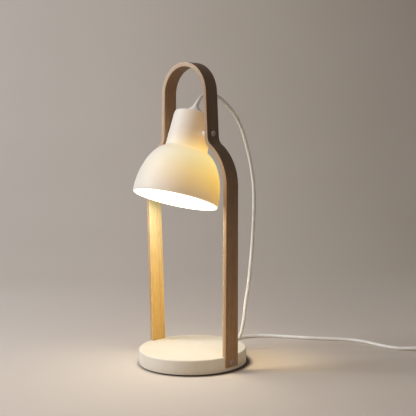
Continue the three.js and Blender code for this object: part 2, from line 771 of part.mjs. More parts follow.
function addSwitch() {
  const body = new THREE.Group();
  body.position.x = switchMiddle;
  lead.add(body);
  const part = cordEntry;
  const lowTools = screwPlaces.flatMap(([, x]) => [
    disc(switchScrewHead + fit, -overrun, switchScrewSink, 16).translate(x, 0, 0),
    disc(switchScrewShank + fit, -overrun, switchHeight / 2, 16).translate(x, 0, 0),
  ]);
  const lower = raised(switchOutline(0), fit / 2, part - fit / 2);
  add('switch_lower_housing', cut(lower, ...lowTools, ...cordBores()), whitePlastic, body);
  const top = raised(switchOutline(0), part + fit / 2, switchHeight);
  const crest = raised(switchOutline(0), -switchHeight, switchHeight, switchBevel);
  const pinHole = acrossSwitch(disc(
    rockerPinRadius + fit, -windowWidth / 2 - rockerPinGrip - fit,
    windowWidth / 2 + rockerPinGrip + fit, 16,
  )).translate(0, 0, rockerPinHeight);
  const screwHoles = screwPlaces.map(([, x]) =>
    disc(switchScrewShank + fit, 0, switchScrewDepth + fit, 16).translate(x, 0, 0));
  const upper = geometryOf(solid(top).intersect(solid(crest)));
  add('switch_upper_housing', cut(
    upper, windowAt(0, windowFloor, switchHeight + overrun), pinHole, ...screwHoles, ...cordBores(),
  ), whitePlastic, body);
  const pin = disc(rockerPinRadius, -windowWidth / 2 - rockerPinGrip, windowWidth / 2 + rockerPinGrip, 12);
  add('switch_pin', acrossSwitch(pin).translate(0, 0, rockerPinHeight), steel, body);
  for (const [name, x] of screwPlaces) {
    const screw = turned([
      [0, fit], [switchScrewHead, fit], [switchScrewHead, switchScrewSink - fit],
      [switchScrewShank, switchScrewSink - fit], [switchScrewShank, switchScrewDepth],
      [0, switchScrewDepth],
    ], 16);
    add(`switch_screw_${name}`, screw.translate(x, 0, 0), steel, body);
    const reach = Math.sign(x) * (windowLength / 2 - fit - contactPlateLength / 2);
    const plate = new THREE.BoxGeometry(contactPlateLength, windowWidth / 2, contactPlateHeight);
    plate.translate(reach, 0, windowFloor + fit + contactPlateHeight / 2);
    add(`switch_contact_${name}`, plate, brass, body);
  }
  addRocker(body);
}

// The rocker's profile is a shallow V over its pin; at rest its front end is pressed down
function addRocker(body) {
  const half = windowLength / 2 - 2 * fit;
  const profile = [
    [-half, rockerHeight], [0, rockerHeight - rockerDish], [half, rockerHeight],
    [half - rockerDish, -rockerDepth / 3], [rockerDepth, -rockerDepth], [-rockerDepth, -rockerDepth],
    [rockerDish - half, -rockerDepth / 3],
  ].reverse();
  const width = windowWidth / 2 - fit;
  const rocker = acrossSwitch(raised(profile, -width, width));
  const bore = acrossSwitch(disc(rockerPinRadius + fit, -windowWidth, windowWidth, 16));
  const mesh = add('switch_rocker', cut(rocker, bore), whitePlastic, body);
  mesh.position.z = rockerPinHeight;
  mesh.rotation.y = -rockerTilt;
}

// Coil: in to the middle and out again at a steady rate, climbing a layer where it turns back
const coilLow = tieThickness + 2 * fit + cordRadius;
const coilHigh = coilLow + coilPitch;
const coilStart = switchLength + linkLength;
const coilRadiusAt = (turn) => coilRadius - coilPitch * Math.min(turn, coilTurns - turn);

function coilPlace(turn) {
  const angle = Math.PI / 2 - 2 * Math.PI * turn;
  const radius = coilRadiusAt(turn);
  const climb = THREE.MathUtils.smoothstep(turn, coilTurns / 2 - 1 / 4, coilTurns / 2 + 1 / 4);
  return new THREE.Vector3(
    coilStart + radius * Math.cos(angle),
    -coilRadius + radius * Math.sin(angle),
    coilLow + (coilHigh - coilLow) * climb,
  );
}

function coilPoints() {
  const steps = coilTurns * coilStepsPerTurn;
  const turns = Array.from({ length: steps + 1 }, (_, k) => coilPlace((coilTurns * k) / steps));
  const before = turns[0].clone().add(new THREE.Vector3(-straight, 0, 0));
  const after = turns.at(-1).clone().add(new THREE.Vector3(-straight, 0, 0));
  return [before, ...turns, after];
}

function tubeThrough(points, sideCount) {
  const up = new THREE.Vector3(0, 0, 1);
  return loft(points.map((point, k) => {
    const back = points[Math.max(k - 1, 0)];
    const ahead = points[Math.min(k + 1, points.length - 1)];
    const way = new THREE.Vector3().subVectors(ahead, back).normalize();
    const side = new THREE.Vector3().crossVectors(way, up).normalize();
    const lift = new THREE.Vector3().crossVectors(side, way);
    return Array.from({ length: sideCount }, (_, s) => {
      const angle = (2 * Math.PI * (s + 1 / 2)) / sideCount;
      return point.clone()
        .addScaledVector(side, cordRadius * Math.cos(angle))
        .addScaledVector(lift, cordRadius * Math.sin(angle));
    });
  }));
}

// The least gap between two stretches of the coil that don't follow each other
function leastGap(points) {
  const apart = coilStepsPerTurn / 2;
  let least = Infinity;
  for (let a = 0; a < points.length; a += 1) {
    for (let b = a + apart; b < points.length; b += 1) {
      least = Math.min(least, points[a].distanceTo(points[b]));
    }
  }
  return least - 2 * cordRadius;
}

function coilTie() {
  const inside = coilRadiusAt(coilTurns / 2) - cordRadius - fit - tieRoom;
  const outside = coilRadius + cordRadius + fit + tieRoom;
  const low = coilLow - cordRadius - fit;
  const high = coilHigh + cordRadius + fit;
  const frame = (grow) => [
    [inside - grow, low - grow], [outside + grow, low - grow],
    [outside + grow, high + grow], [inside - grow, high + grow],
  ];
  const band = cut(
    raised(frame(tieThickness), -tieWidth / 2, tieWidth / 2),
    raised(frame(0), -tieWidth, tieWidth),
  );
  return band.rotateX(Math.PI / 2).rotateZ(Math.PI / 2 - 2 * Math.PI * tieTurnShare)
    .translate(coilStart, -coilRadius, 0);
}

const plugMiddle = fit / 2 + plugHeight / 2;
const tailEnd = coilStart - straight - fit - tailLength;

function addCoil() {
  const points = coilPoints();
  console.log('least gap in the coil, mm:', leastGap(points).toFixed(2));
  add('cord_coil', tubeThrough(points, coilSides), cordWhite, lead);
  add('coil_tie', coilTie(), darkFoam, lead);
  const from = switchLength - cordEntryDepth + fit;
  const linkEnd = coilStart - straight - fit;
  const link = [
    [from, 0, cordEntry], [switchLength + straight, 0, cordEntry],
    [linkEnd - straight, 0, coilLow], [linkEnd, 0, coilLow],
  ].map((point) => new THREE.Vector3(...point));
  add('cord_link', cordTube(link, 5), cordWhite, lead);
  const across = -2 * coilRadius;
  const tail = [
    [coilStart - straight - fit, across, coilHigh], [coilStart - 2 * straight, across, coilHigh],
    [tailEnd + straight, across, plugMiddle], [tailEnd, across, plugMiddle],
  ].map((point) => new THREE.Vector3(...point));
  add('cord_tail', cordTube(tail, 4), cordWhite, lead);
}

// Plug: flat, with two round pins, lying beside the coil
function addPlug() {
  const plug = new THREE.Group();
  plug.position.set(tailEnd - fit, -2 * coilRadius, plugMiddle);
  lead.add(plug);
  const relief = alongX(turned([
    [0, -reliefLength], [reliefRoot, -reliefLength], [reliefTip, 0], [0, 0],
  ], 16));
  add('plug_strain_relief', relief, whitePlastic, plug);
  const root = -reliefLength - fit;
  const face = root - plugLength;
  const outline = [
    [root, -plugNarrow / 2], [root, plugNarrow / 2], [root - plugLength / 2, plugWidth / 2],
    [face, plugWidth / 2], [face, -plugWidth / 2], [root - plugLength / 2, -plugWidth / 2],
  ];
  const holes = [-1, 1].map((side) => alongX(
    disc(pinRadius + fit, face - overrun, face + pinGrip + fit, 16),
  ).translate(0, (side * pinSpacing) / 2, 0));
  const body = raised(outline, -plugHeight / 2, plugHeight / 2, plugBevel);
  add('plug_body', cut(body, ...holes), whitePlastic, plug);
  for (const [name, side] of sides) {
    const pin = alongX(turned([
      [0, face - pinLength], [pinRadius - pinTip, face - pinLength],
      [pinRadius, face - pinLength + pinTip], [pinRadius, face + pinGrip], [0, face + pinGrip],
    ], 16)).translate(0, (side * pinSpacing) / 2, 0);
    add(`plug_pin_${name}`, pin, satinNickel, plug);
  }
}

addBase();
addFrame();
add('shade_shell', shadeShell(), porcelain, shade);
addPivots();
addLampholder();
addBulb();
addCord();
addSwitch();
addCoil();
addPlug();

export default model;
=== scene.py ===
import math

import bmesh
import bpy
from mathutils import Matrix, Vector


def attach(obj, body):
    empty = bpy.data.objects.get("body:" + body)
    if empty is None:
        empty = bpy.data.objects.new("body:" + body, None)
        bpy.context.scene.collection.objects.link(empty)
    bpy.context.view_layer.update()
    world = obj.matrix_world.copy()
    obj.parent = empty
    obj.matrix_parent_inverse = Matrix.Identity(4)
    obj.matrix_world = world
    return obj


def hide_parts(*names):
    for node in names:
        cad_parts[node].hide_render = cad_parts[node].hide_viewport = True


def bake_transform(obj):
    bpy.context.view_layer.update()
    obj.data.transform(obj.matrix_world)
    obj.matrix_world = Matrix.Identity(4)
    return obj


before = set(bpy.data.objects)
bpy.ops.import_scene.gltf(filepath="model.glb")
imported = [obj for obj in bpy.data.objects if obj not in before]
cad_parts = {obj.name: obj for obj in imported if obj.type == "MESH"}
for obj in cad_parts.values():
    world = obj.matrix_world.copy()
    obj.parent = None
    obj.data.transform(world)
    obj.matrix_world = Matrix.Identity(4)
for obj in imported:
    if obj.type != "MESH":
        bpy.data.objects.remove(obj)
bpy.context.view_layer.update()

MM = 0.001
DEG = math.pi / 180

# Sizes in mm, as in the CAD source. Shapes are drawn in mm, and build() turns them into metres.
# FIT is the gap between pieces that meet, and PAST is how far a cutter reaches past the face it opens
FIT, PAST = 0.3, 2
# Base, strip and screws
BASE_R, BASE_TOP, BASE_EDGE, BASE_UNDER, BASE_LOW_EDGE = 87.3, 24.6, 2.3, 1.7, 0.8
HOLLOW_R, HOLLOW_TOP = 60.3, 11.0
WEIGHT_SCREW_AT, WEIGHT_SCREW_BORE, WEIGHT_SCREW_TOP = 44, 2.3, 18.0
STRIP_T, STRIP_EDGE, FOOT_W, HANDLE_W, FOOT_SUNK = 7.0, 0.9, 28.9, 25.4, 0.25
SHOULDER = 365.2
PIVOT = SHOULDER + 4.7
HANDLE = SHOULDER + 68.4
UPPER_BEND, LOWER_BEND = 19.4, 74.0
LEAN_UP, LEAN_LEG = 2.1 * DEG, 1.04 * DEG
FOOT_Z, FOOT_SCREW_Z = 7.0, 13.9
INSERT_BORE, INSERT_DEPTH = 4.3, 13.7
SCREW_HEAD, SCREW_HEAD_H, SCREW_SINK, SCREW_R, SCREW_DOME = 4.6, 2.0, 1.2, 2.5, 0.55
SCREW_BORE = SCREW_R + FIT
SOCKET_R, SOCKET_DEPTH = 1.75, 1.3
# Shade, pivots, grip, lampholder and bulb
TILT = 18.2 * DEG
WALL = 3.2
NECK_TOP, NECK_CROWN, NECK_TOP_R, NECK_CORNER = 33.7, 1.2, 31.2, 3.4
NECK_ROOT, NECK_ROOT_R = 26.2, 34.2
NIPPLE_BORE = 5.3
DOME_D, DOME_R, PULL, SLOPE, RIM_PULL = 107.1, 68.8, 21.5, 66.2 * DEG, 40.0
BOSS_ROOT, BOSS_R, BOSS_EDGE, BOSS_L = 16, 6.6, 1.1, 12.4
WASHER_R, WASHER_T, WASHER_EDGE = 6.2, 1.0, 0.2
GRIP_SEAT, GRIP_STRAIGHT, GRIP_BEND, GRIP_LEAN = 35.2, 8.8, 26.0, 20 * DEG
GRIP_LEN = GRIP_STRAIGHT + GRIP_BEND * GRIP_LEAN
GRIP_THIN, GRIP_FLARE, GRIP_BORE, NIPPLE_IN = 3.3, 11.2, 3.15, 4.8
HOLDER_R, HOLDER_CAP_TOP, HOLDER_CAP_LOW, HOLDER_TOP, HOLDER_LOW = 13.9, 24.8, 10.3, 10.0, -17.8
SLEEVE_R, SLEEVE_T, SLEEVE_TOP, SLEEVE_LOW, THREAD_PITCH = 7.9, 0.45, 2.4, -15.6, 2.8
GLOBE_R, GLOBE_T, BULB_END, COLLAR_LOW = 22.5, 1.0, -71.6, -28.8
# Cord, switch, coil, tie and plug
CORD_R, CORD_LIFT, CORD_IN = 3.0, 0.1, 6.7
LEAD_AT, LEAD_TURN = (248, 305.7, 0), 30.7 * DEG
SWITCH_L, SWITCH_SPLIT, SWITCH_TOP, SWITCH_SCREW_AT, CORD_HOLE = 60.0, 5.5, 17, 18.5, 7
PIN_Z, PIN_BORE, KEY_W, KEY_REST = 12.4, 1.3, 9.0, 7 * DEG
LINK_L, COIL_R, COIL_PITCH, TURNS, COIL_STUB, TAIL_L = 38.0, 38.0, 6.6, 3.5, 6, 27
TIE_T, TIE_W, TIE_CORNER = 0.8, 8, 2.6
PLUG_Z, PLUG_L, PLUG_W, PLUG_T = 6.95, 34.0, 26.0, 13.6
RELIEF_L, RELIEF_R, RIB_STEP = 22, 5.6, 3.7
PRONG_AT, PRONG_R, PRONG_END, PRONG_BARE, PRONG_ROOT = 9.3, 2.0, 75.3, 66.0, 48.3

HALF_T = STRIP_T / 2
NECK_MID_R = NECK_TOP_R + (NECK_ROOT_R - NECK_TOP_R) * NECK_TOP / (NECK_TOP + NECK_ROOT)
PIVOT_X = NECK_MID_R + BOSS_L + HALF_T / math.cos(LEAN_UP)
PIVOT_FACE = PIVOT_X + HALF_T / math.cos(LEAN_UP)
HANDLE_R = PIVOT_X * math.cos(LEAN_UP) - (HANDLE - PIVOT) * math.sin(LEAN_UP)
COIL_X = SWITCH_L + LINK_L
COIL_LOW = TIE_T + 2 * FIT + CORD_R
LINK_END = COIL_X - COIL_STUB - FIT
TAIL_END = LINK_END - TAIL_L

# Frames of their own: the shade about its pivots, the lead from the switch on, and the pieces in it
WORLD = Matrix.Identity(4)
ALONG_X = Matrix.Rotation(math.pi / 2, 4, "Y")
ALONG_Y = Matrix.Rotation(math.pi / 2, 4, "X")
SHADE_M = Matrix.Translation((0, 0, PIVOT)) @ Matrix.Rotation(-TILT, 4, "X")
LEAD_M = Matrix.Translation(LEAD_AT) @ Matrix.Rotation(LEAD_TURN, 4, "Z")
SWITCH_M = LEAD_M @ Matrix.Translation((SWITCH_L / 2, 0, 0))
TIE_M = LEAD_M @ Matrix.Translation((COIL_X, -COIL_R, 0)) @ ALONG_Y
PLUG_M = LEAD_M @ Matrix.Translation((TAIL_END - FIT, -2 * COIL_R, PLUG_Z))


# Lines
def arc(cx, cy, r, a0, a1, n):
    return [(cx + r * math.cos(a0 + (a1 - a0) * k / n), cy + r * math.sin(a0 + (a1 - a0) * k / n))
            for k in range(n + 1)]


def bezier(p0, p1, p2, p3, n):
    out = []
    for k in range(n + 1):
        t = k / n
        s = 1 - t
        w = (s ** 3, 3 * s * s * t, 3 * s * t * t, t ** 3)
        out.append(tuple(sum(w[i] * p[a] for i, p in enumerate((p0, p1, p2, p3))) for a in (0, 1)))
    return out


def catmull(points, per):
    """The centripetal Catmull-Rom curve that the CAD source draws, sampled per times between points."""
    pts = [Vector(p) for p in points]
    out = []
    for i in range(len(pts) - 1):
        p0 = pts[i - 1] if i else 2 * pts[0] - pts[1]
        p1, p2 = pts[i], pts[i + 1]
        p3 = pts[i + 2] if i + 2 < len(pts) else 2 * pts[-1] - pts[-2]
        d = [max(math.sqrt((b - a).length), 1e-4) for a, b in ((p0, p1), (p1, p2), (p2, p3))]
        t1 = ((p1 - p0) / d[0] - (p2 - p0) / (d[0] + d[1]) + (p2 - p1) / d[1]) * d[1]
        t2 = ((p2 - p1) / d[1] - (p3 - p1) / (d[1] + d[2]) + (p3 - p2) / d[2]) * d[1]
        for k in range(per):
            t = k / per
            out.append(p1 + t1 * t + (-3 * p1 + 3 * p2 - 2 * t1 - t2) * t * t
                       + (2 * p1 - 2 * p2 + t1 + t2) * t ** 3)
    out.append(pts[-1])
    return out


def running_length(points):
    """The length along a line at each of its points, in metres."""
    out = [0.0]
    for a, b in zip(points, points[1:]):
        out.append(out[-1] + math.dist(a, b) * MM)
    return out


def normals(line):
    """Outward normals of a profile line that runs downwards."""
    out = []
    for k in range(len(line)):
        a, b = line[max(k - 1, 0)], line[min(k + 1, len(line) - 1)]
        dx, dy = b[0] - a[0], b[1] - a[1]
        d = math.hypot(dx, dy)
        out.append((-dy / d, dx / d))
    return out


def rounded(points, radius, n=6):
    """A closed outline whose corners are rounded, each by its own radius or all by one."""
    out, count = [], len(points)
    radii = radius if isinstance(radius, list) else [radius] * count
    for k in range(count):
        a, b, c = (Vector(points[i % count]) for i in (k - 1, k, k + 1))
        u, v = (a - b).normalized(), (c - b).normalized()
        half_turn = u.angle(v) / 2
        centre = b + (u + v).normalized() * (radii[k] / math.sin(half_turn))
        p, q = (b + w * (radii[k] / math.tan(half_turn)) - centre for w in (u, v))
        a0, a1 = math.atan2(p.y, p.x), math.atan2(q.y, q.x)
        swing = (a1 - a0 + math.pi) % (2 * math.pi) - math.pi
        out += arc(centre.x, centre.y, radii[k], a0, a0 + swing, n)
    return out


def inset(outline, d):
    """An outline, anticlockwise, moved inwards by d."""
    out, n = [], len(outline)
    for k in range(n):
        a, b, c = (Vector(outline[i % n]) for i in (k - 1, k, k + 1))
        u, v = (b - a).normalized(), (c - b).normalized()
        n1, n2 = Vector((-u.y, u.x)), Vector((-v.y, v.x))
        step = (n1 + n2) / (1 + n1.dot(n2))
        out.append((b.x + step.x * d, b.y + step.y * d))
    return out


# Meshes, and the materials they take, by name
MAT = {}


def add(name, data):
    obj = bpy.data.objects.new(name, data)
    bpy.context.scene.collection.objects.link(obj)
    return obj


def smooth(mesh, angle):
    mesh.polygons.foreach_set("use_smooth", [True] * len(mesh.polygons))
    mesh.set_sharp_from_angle(angle=angle * DEG)
    mesh.update()


def build(name, verts, faces, uvs, matrix, body, mats, replaces=(), angle=35, face_mats=None):
    """An object from a mesh in mm. Without nodes to replace it is a cutter."""
    mesh = bpy.data.meshes.new(name)
    mesh.from_pydata([(matrix @ Vector(v)) * MM for v in verts], [], faces)
    if uvs:
        layer = mesh.uv_layers.new(name="UVMap")
        layer.data.foreach_set("uv", [number for face in uvs for uv in face for number in uv])
    mats = [mats] if isinstance(mats, str) else mats
    for mat in mats:
        mesh.materials.append(MAT[mat])
    if face_mats:
        mesh.polygons.foreach_set("material_index", face_mats)
    obj = add(name, mesh)
    bm = bmesh.new()
    bm.from_mesh(mesh)
    bmesh.ops.remove_doubles(bm, verts=bm.verts, dist=2e-6)
    bmesh.ops.recalc_face_normals(bm, faces=bm.faces)
    bm.to_mesh(mesh)
    bm.free()
    smooth(mesh, angle)
    if body:
        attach(obj, body)
    if replaces:
        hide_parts(*replaces)
    return obj


def skin(rings, caps=True, us=None, vs=None):
    """Faces and UVs of closed rings of equal length, joined one to the next."""
    m, n = len(rings), len(rings[0])
    verts = [p for ring in rings for p in ring]
    faces, uvs = [], []
    us = us or [i / m for i in range(m)]
    vs = vs or [j / n for j in range(n + 1)]
    for i in range(m - 1):
        for j in range(n):
            k = (j + 1) % n
            faces.append((i * n + j, i * n + k, (i + 1) * n + k, (i + 1) * n + j))
            uvs.append(((us[i], vs[j]), (us[i], vs[j + 1]), (us[i + 1], vs[j + 1]), (us[i + 1], vs[j])))
    if caps:
        for i, order in ((0, range(n - 1, -1, -1)), (m - 1, range(n))):
            faces.append(tuple(i * n + j for j in order))
            uvs.append(tuple((rings[i][j][0] * MM, rings[i][j][1] * MM) for j in order))
    return verts, faces, uvs


def lathe(name, profile, body, mats, replaces=(), matrix=WORLD, n=96, angle=35, face_mats=None):
    """A profile of (radius, height) turned about Z. One that starts off the axis closes on itself."""
    if profile[0][0] > 0:
        profile = profile + profile[:1]
    turns = [2 * math.pi * j / n for j in range(n)]
    rings = [[(r * math.cos(a), r * math.sin(a), z) for a in turns] for r, z in profile]
    verts, faces, uvs = skin(rings, False, running_length(profile))
    return build(name, verts, faces, uvs, matrix, body, mats, replaces, angle, face_mats)


def tube(name, points, radius, body, mats, replaces=(), matrix=WORLD, sides=20):
    """A round tube whose rings don't twist; radius is one number, or one for each point."""
    points = [Vector(p) for p in points]
    radii = radius if isinstance(radius, list) else [radius] * len(points)
    turns = [2 * math.pi * j / sides for j in range(sides)]
    rings, side = [], None
    for k, (p, r) in enumerate(zip(points, radii)):
        way = (points[min(k + 1, len(points) - 1)] - points[max(k - 1, 0)]).normalized()
        if side is None:
            side = way.cross(Vector((0, 0, 1)))
            side = side.normalized() if side.length > 1e-3 else Vector((1, 0, 0))
        side = (side - way * side.dot(way)).normalized()
        up = way.cross(side)
        rings.append([p + side * (r * math.cos(a)) + up * (r * math.sin(a)) for a in turns])
    verts, faces, uvs = skin(rings, us=running_length(points))
    return build(name, verts, faces, uvs, matrix, body, mats, replaces, 50)


def prism(name, outline, low, high, matrix, body, mats, replaces=(), soft=(0.0, 0.0), n=5):
    """An upright prism whose lower and upper edges are rounded by the two radii in soft."""
    rings = []
    for z, r, s in ((low, soft[0], 1), (high, soft[1], -1)):
        steps = [math.pi / 2 * k / n for k in range(n + 1)] if r else [0.0]
        part = [[(x, y, z + s * r * (1 - math.cos(a))) for x, y in inset(outline, r * (1 - math.sin(a)))]
                for a in steps]
        rings += part if s > 0 else part[::-1]
    verts, faces, uvs = skin(rings)
    return build(name, verts, faces, uvs, matrix, body, mats, replaces, 40)


def rod(r, low, high):
    """A plain rod's profile, for lathe."""
    return [(0, low), (r, low), (r, high), (0, high)]


def cutter(profile, matrix, n=48):
    return lathe("cutter", profile, None, "steel", (), matrix, n)


def box_cutter(x0, x1, y, z0, z1):
    verts = [(x, s * y, z) for z in (z0, z1) for x, s in ((x0, -1), (x1, -1), (x1, 1), (x0, 1))]
    faces = [(0, 3, 2, 1), (4, 5, 6, 7), (0, 1, 5, 4), (1, 2, 6, 5), (2, 3, 7, 6), (3, 0, 4, 7)]
    return build("cutter", verts, faces, None, WORLD, None, "steel")


def carve(obj, cutters, angle=35):
    """Cuts the cutters out of obj for good."""
    for tool in cutters:
        mod = obj.modifiers.new("cut", "BOOLEAN")
        mod.operation = "DIFFERENCE"
        mod.solver = "EXACT"
        mod.object = tool
    bpy.context.view_layer.update()
    done = obj.evaluated_get(bpy.context.evaluated_depsgraph_get())
    mesh = bpy.data.meshes.new_from_object(done)
    obj.modifiers.clear()
    old = obj.data
    obj.data = mesh
    mesh.name = old.name
    bpy.data.meshes.remove(old)
    for tool in cutters:
        bpy.data.objects.remove(tool)
    smooth(obj.data, angle)


# Material helpers
MIX_FACTOR, MIX_A, MIX_B, MIX_RESULT = 0, 6, 7, 2


class Nodes:
    """A material's nodes, with short calls to make and join them."""

    def __init__(self, name, colour, rough, metallic=0.0):
        self.mat = bpy.data.materials.new(name)
        self.mat.use_nodes = True
        self.tree = self.mat.node_tree
        self.bsdf = self.tree.nodes["Principled BSDF"]
        self.put("Base Color", (*colour, 1))
        self.put("Roughness", rough)
        self.put("Metallic", metallic)
        MAT[name] = self.mat

    def put(self, socket, value):
        self.bsdf.inputs[socket].default_value = value

    def node(self, kind, **values):
        n = self.tree.nodes.new(kind)
        for key, value in values.items():
            setattr(n, key, value)
        return n

    def link(self, a, b):
        self.tree.links.new(a, b)

    def feed(self, socket, value):
        self.link(value, self.bsdf.inputs[socket])

    def place(self, kind="Object"):
        """The point on the object in metres, or its UV."""
        return self.node("ShaderNodeTexCoord").outputs[kind]

    def u_and_v(self):
        parts = self.node("ShaderNodeSeparateXYZ")
        self.link(self.place("UV"), parts.inputs["Vector"])
        return parts.outputs["X"], parts.outputs["Y"]

    def noise(self, scale, detail, rough=0.5, stretch=(1, 1, 1), kind="Object"):
        mapping = self.node("ShaderNodeMapping")
        mapping.inputs["Scale"].default_value = stretch
        self.link(self.place(kind), mapping.inputs["Vector"])
        n = self.node("ShaderNodeTexNoise")
        n.inputs["Scale"].default_value = scale
        n.inputs["Detail"].default_value = detail
        n.inputs["Roughness"].default_value = rough
        self.link(mapping.outputs["Vector"], n.inputs["Vector"])
        return n.outputs["Fac"]

    def ramp(self, fac, stops):
        r = self.node("ShaderNodeValToRGB")
        els = r.color_ramp.elements
        while len(els) < len(stops):
            els.new(0.5)
        for el, (at, colour) in zip(els, stops):
            el.position = at
            el.color = (*colour, 1)
        self.link(fac, r.inputs["Fac"])
        return r.outputs["Color"]

    def mix(self, fac, a, b, mode="MIX"):
        m = self.node("ShaderNodeMix", data_type="RGBA", blend_type=mode)
        for index, value in ((MIX_FACTOR, fac), (MIX_A, a), (MIX_B, b)):
            if isinstance(value, bpy.types.NodeSocket):
                self.link(value, m.inputs[index])
            else:
                m.inputs[index].default_value = value if isinstance(value, float) else (*value, 1)
        return m.outputs[MIX_RESULT]

    def spread(self, fac, low, high, a=0.0, b=1.0):
        """Takes a value from the range a to b into the range low to high, and holds it there."""
        m = self.node("ShaderNodeMapRange")
        for key, value in (("From Min", a), ("From Max", b), ("To Min", low), ("To Max", high)):
            m.inputs[key].default_value = value
        self.link(fac, m.inputs["Value"])
        return m.outputs["Result"]

    def mottle(self, scale, detail, low, high, a=0.3, b=0.7):
        """A colour that wanders between two."""
        self.feed("Base Color", self.ramp(self.noise(scale, detail), [(a, low), (b, high)]))

    def wear(self, fac, low, high):
        self.feed("Roughness", self.spread(fac, low, high, 0.3, 0.7))

    def bump(self, fac, strength, distance):
        b = self.node("ShaderNodeBump")
        b.inputs["Strength"].default_value = strength
        b.inputs["Distance"].default_value = distance
        self.link(fac, b.inputs["Height"])
        self.feed("Normal", b.outputs["Normal"])


def shade_of(colour, k):
    return tuple(min(1.0, c * k) for c in colour)


def plastic(name, colour, rough, grain=900.0, bump=0.12, vary=0.04):
    m = Nodes(name, colour, rough)
    m.mottle(60, 2, shade_of(colour, 1 - vary), shade_of(colour, 1 + vary))
    m.wear(m.noise(220, 3), rough - 0.05, rough + 0.07)
    m.bump(m.noise(grain, 3), bump, 0.00008)


def metal(name, colour, rough, grain=700.0, bump=0.15):
    m = Nodes(name, colour, rough, 1.0)
    m.mottle(90, 3, shade_of(colour, 0.88), shade_of(colour, 1.08), 0.25, 0.75)
    m.wear(m.noise(grain, 4), rough - 0.08, rough + 0.12)
    m.bump(m.noise(grain, 4), bump, 0.00006)


STRIP_LENGTH = 1.075


def wood(name, light, mid, dark, rough, pored=0.6, painted_light_tone=None):
    """Grain that runs along the strip: u is the length along it in metres, v the way round it."""
    m = Nodes(name, mid, rough)
    warp = m.noise(1.0, 3, stretch=(3, 40, 1), kind="UV")
    broad = m.noise(1.0, 4, 0.55, stretch=(9, 420, 1), kind="UV")
    fine = m.noise(1.0, 5, 0.6, stretch=(55, 2600, 1), kind="UV")
    streaks = m.noise(1.0, 3, 0.6, stretch=(4, 900, 1), kind="UV")
    base = m.ramp(broad, [(0.28, dark), (0.5, mid), (0.74, light)])
    base = m.mix(0.35, base, m.ramp(warp, [(0.3, dark), (0.7, light)]))
    pores = m.ramp(fine, [(0.34, shade_of(dark, 0.55)), (0.52, (1, 1, 1))])
    bands = m.ramp(streaks, [(0.35, (0.72, 0.70, 0.68)), (0.62, (1.12, 1.12, 1.12))])
    base = m.mix(0.7, m.mix(pored, base, pores, "MULTIPLY"), bands, "MULTIPLY")
    # painted light and shade along the strip, from the right foot to the left
    if painted_light_tone:
        along = m.spread(m.u_and_v()[0], 0, 1, 0, STRIP_LENGTH)
        base = m.mix(1.0, base, m.ramp(along, painted_light_tone), "MULTIPLY")
    m.feed("Base Color", base)
    m.wear(fine, rough + 0.12, rough - 0.06)
    m.bump(fine, 0.25, 0.00012)


# Materials. Painted light and shade make the wood's outer faces and edges lighter and darker along the strip,
# from the right foot over the handle to the left foot
def cream_paint():
    m = Nodes("cream_paint", (0.80, 0.74, 0.65), 0.62)
    brushed = m.noise(1.0, 4, 0.6, stretch=(9, 210, 9))
    plain = m.ramp(m.noise(14, 4), [(0.3, (0.77, 0.71, 0.62)), (0.7, (0.81, 0.755, 0.665))])
    marks = m.ramp(brushed, [(0.36, (0.955, 0.95, 0.94)), (0.6, (1, 1, 1))])
    m.feed("Base Color", m.mix(0.6, plain, marks, "MULTIPLY"))
    m.wear(m.noise(160, 4), 0.55, 0.7)
    m.bump(brushed, 0.3, 0.0003)


def porcelain():
    """Its glow is painted: an emission stands in for the bulb's light through the thin wall. u is the way
    down the wall in metres.
    """
    m = Nodes("porcelain", (0.84, 0.80, 0.74), 0.5)
    m.mottle(22, 4, (0.80, 0.765, 0.71), (0.84, 0.81, 0.76))
    m.wear(m.noise(300, 4), 0.44, 0.6)
    m.bump(m.noise(520, 5, 0.6), 0.12, 0.00015)
    u, v = m.u_and_v()
    m.feed("Emission Color", m.ramp(u, [
        (0.0, (0.2, 0.12, 0.04)), (0.055, (0.3, 0.15, 0.02)), (0.068, (0.58, 0.3, 0.05)),
        (0.082, (1.0, 0.66, 0.16)), (0.1075, (0.98, 0.79, 0.27)), (0.136, (0.94, 0.61, 0.09)),
        (0.156, (0.7, 0.4, 0.035)), (0.1775, (0.33, 0.17, 0.02)), (0.18, (1.0, 0.95, 0.8))]))
    # v is the way round the axis, from 0 to 1, and the painted glow is made strongest on one side
    painted_glow_peak = 0.1228
    turn = m.node("ShaderNodeMath", operation="MULTIPLY_ADD")
    turn.inputs[1].default_value, turn.inputs[2].default_value = 2 * math.pi, -2 * math.pi * painted_glow_peak
    m.link(v, turn.inputs[0])
    painted_glow_facing = m.node("ShaderNodeMath", operation="COSINE")
    m.link(turn.outputs[0], painted_glow_facing.inputs[0])
    m.feed("Emission Strength", m.spread(painted_glow_facing.outputs[0], 0.07, 0.86, -0.95, 1.0))


def porcelain_inside():
    m = Nodes("porcelain_inside", (0.90, 0.87, 0.82), 0.55)
    m.mottle(30, 4, (0.88, 0.85, 0.80), (0.92, 0.89, 0.84))
    m.bump(m.noise(520, 5, 0.6), 0.1, 0.00015)
    # The inside is painted with an even glow, for the bulb's light on it
    m.put("Emission Color", (1.0, 0.93, 0.76, 1))
    m.put("Emission Strength", 1.1)


def foam_rubber():
    m = Nodes("foam_rubber", (0.028, 0.027, 0.026), 0.9)
    m.mottle(500, 3, (0.015, 0.015, 0.014), (0.045, 0.043, 0.04), 0.35, 0.65)
    m.bump(m.noise(900, 4), 0.8, 0.0004)


def opal_glass():
    m = Nodes("opal_glass", (1.0, 0.95, 0.86), 0.25)
    m.feed("Roughness", m.spread(m.noise(40, 2), 0.2, 0.3))
    m.put("Emission Color", (1.0, 0.80, 0.52, 1))
    m.put("Emission Strength", 5.0)


def black_glass():
    m = Nodes("black_glass", (0.02, 0.02, 0.025), 0.12)
    m.feed("Roughness", m.spread(m.noise(80, 2), 0.08, 0.2))


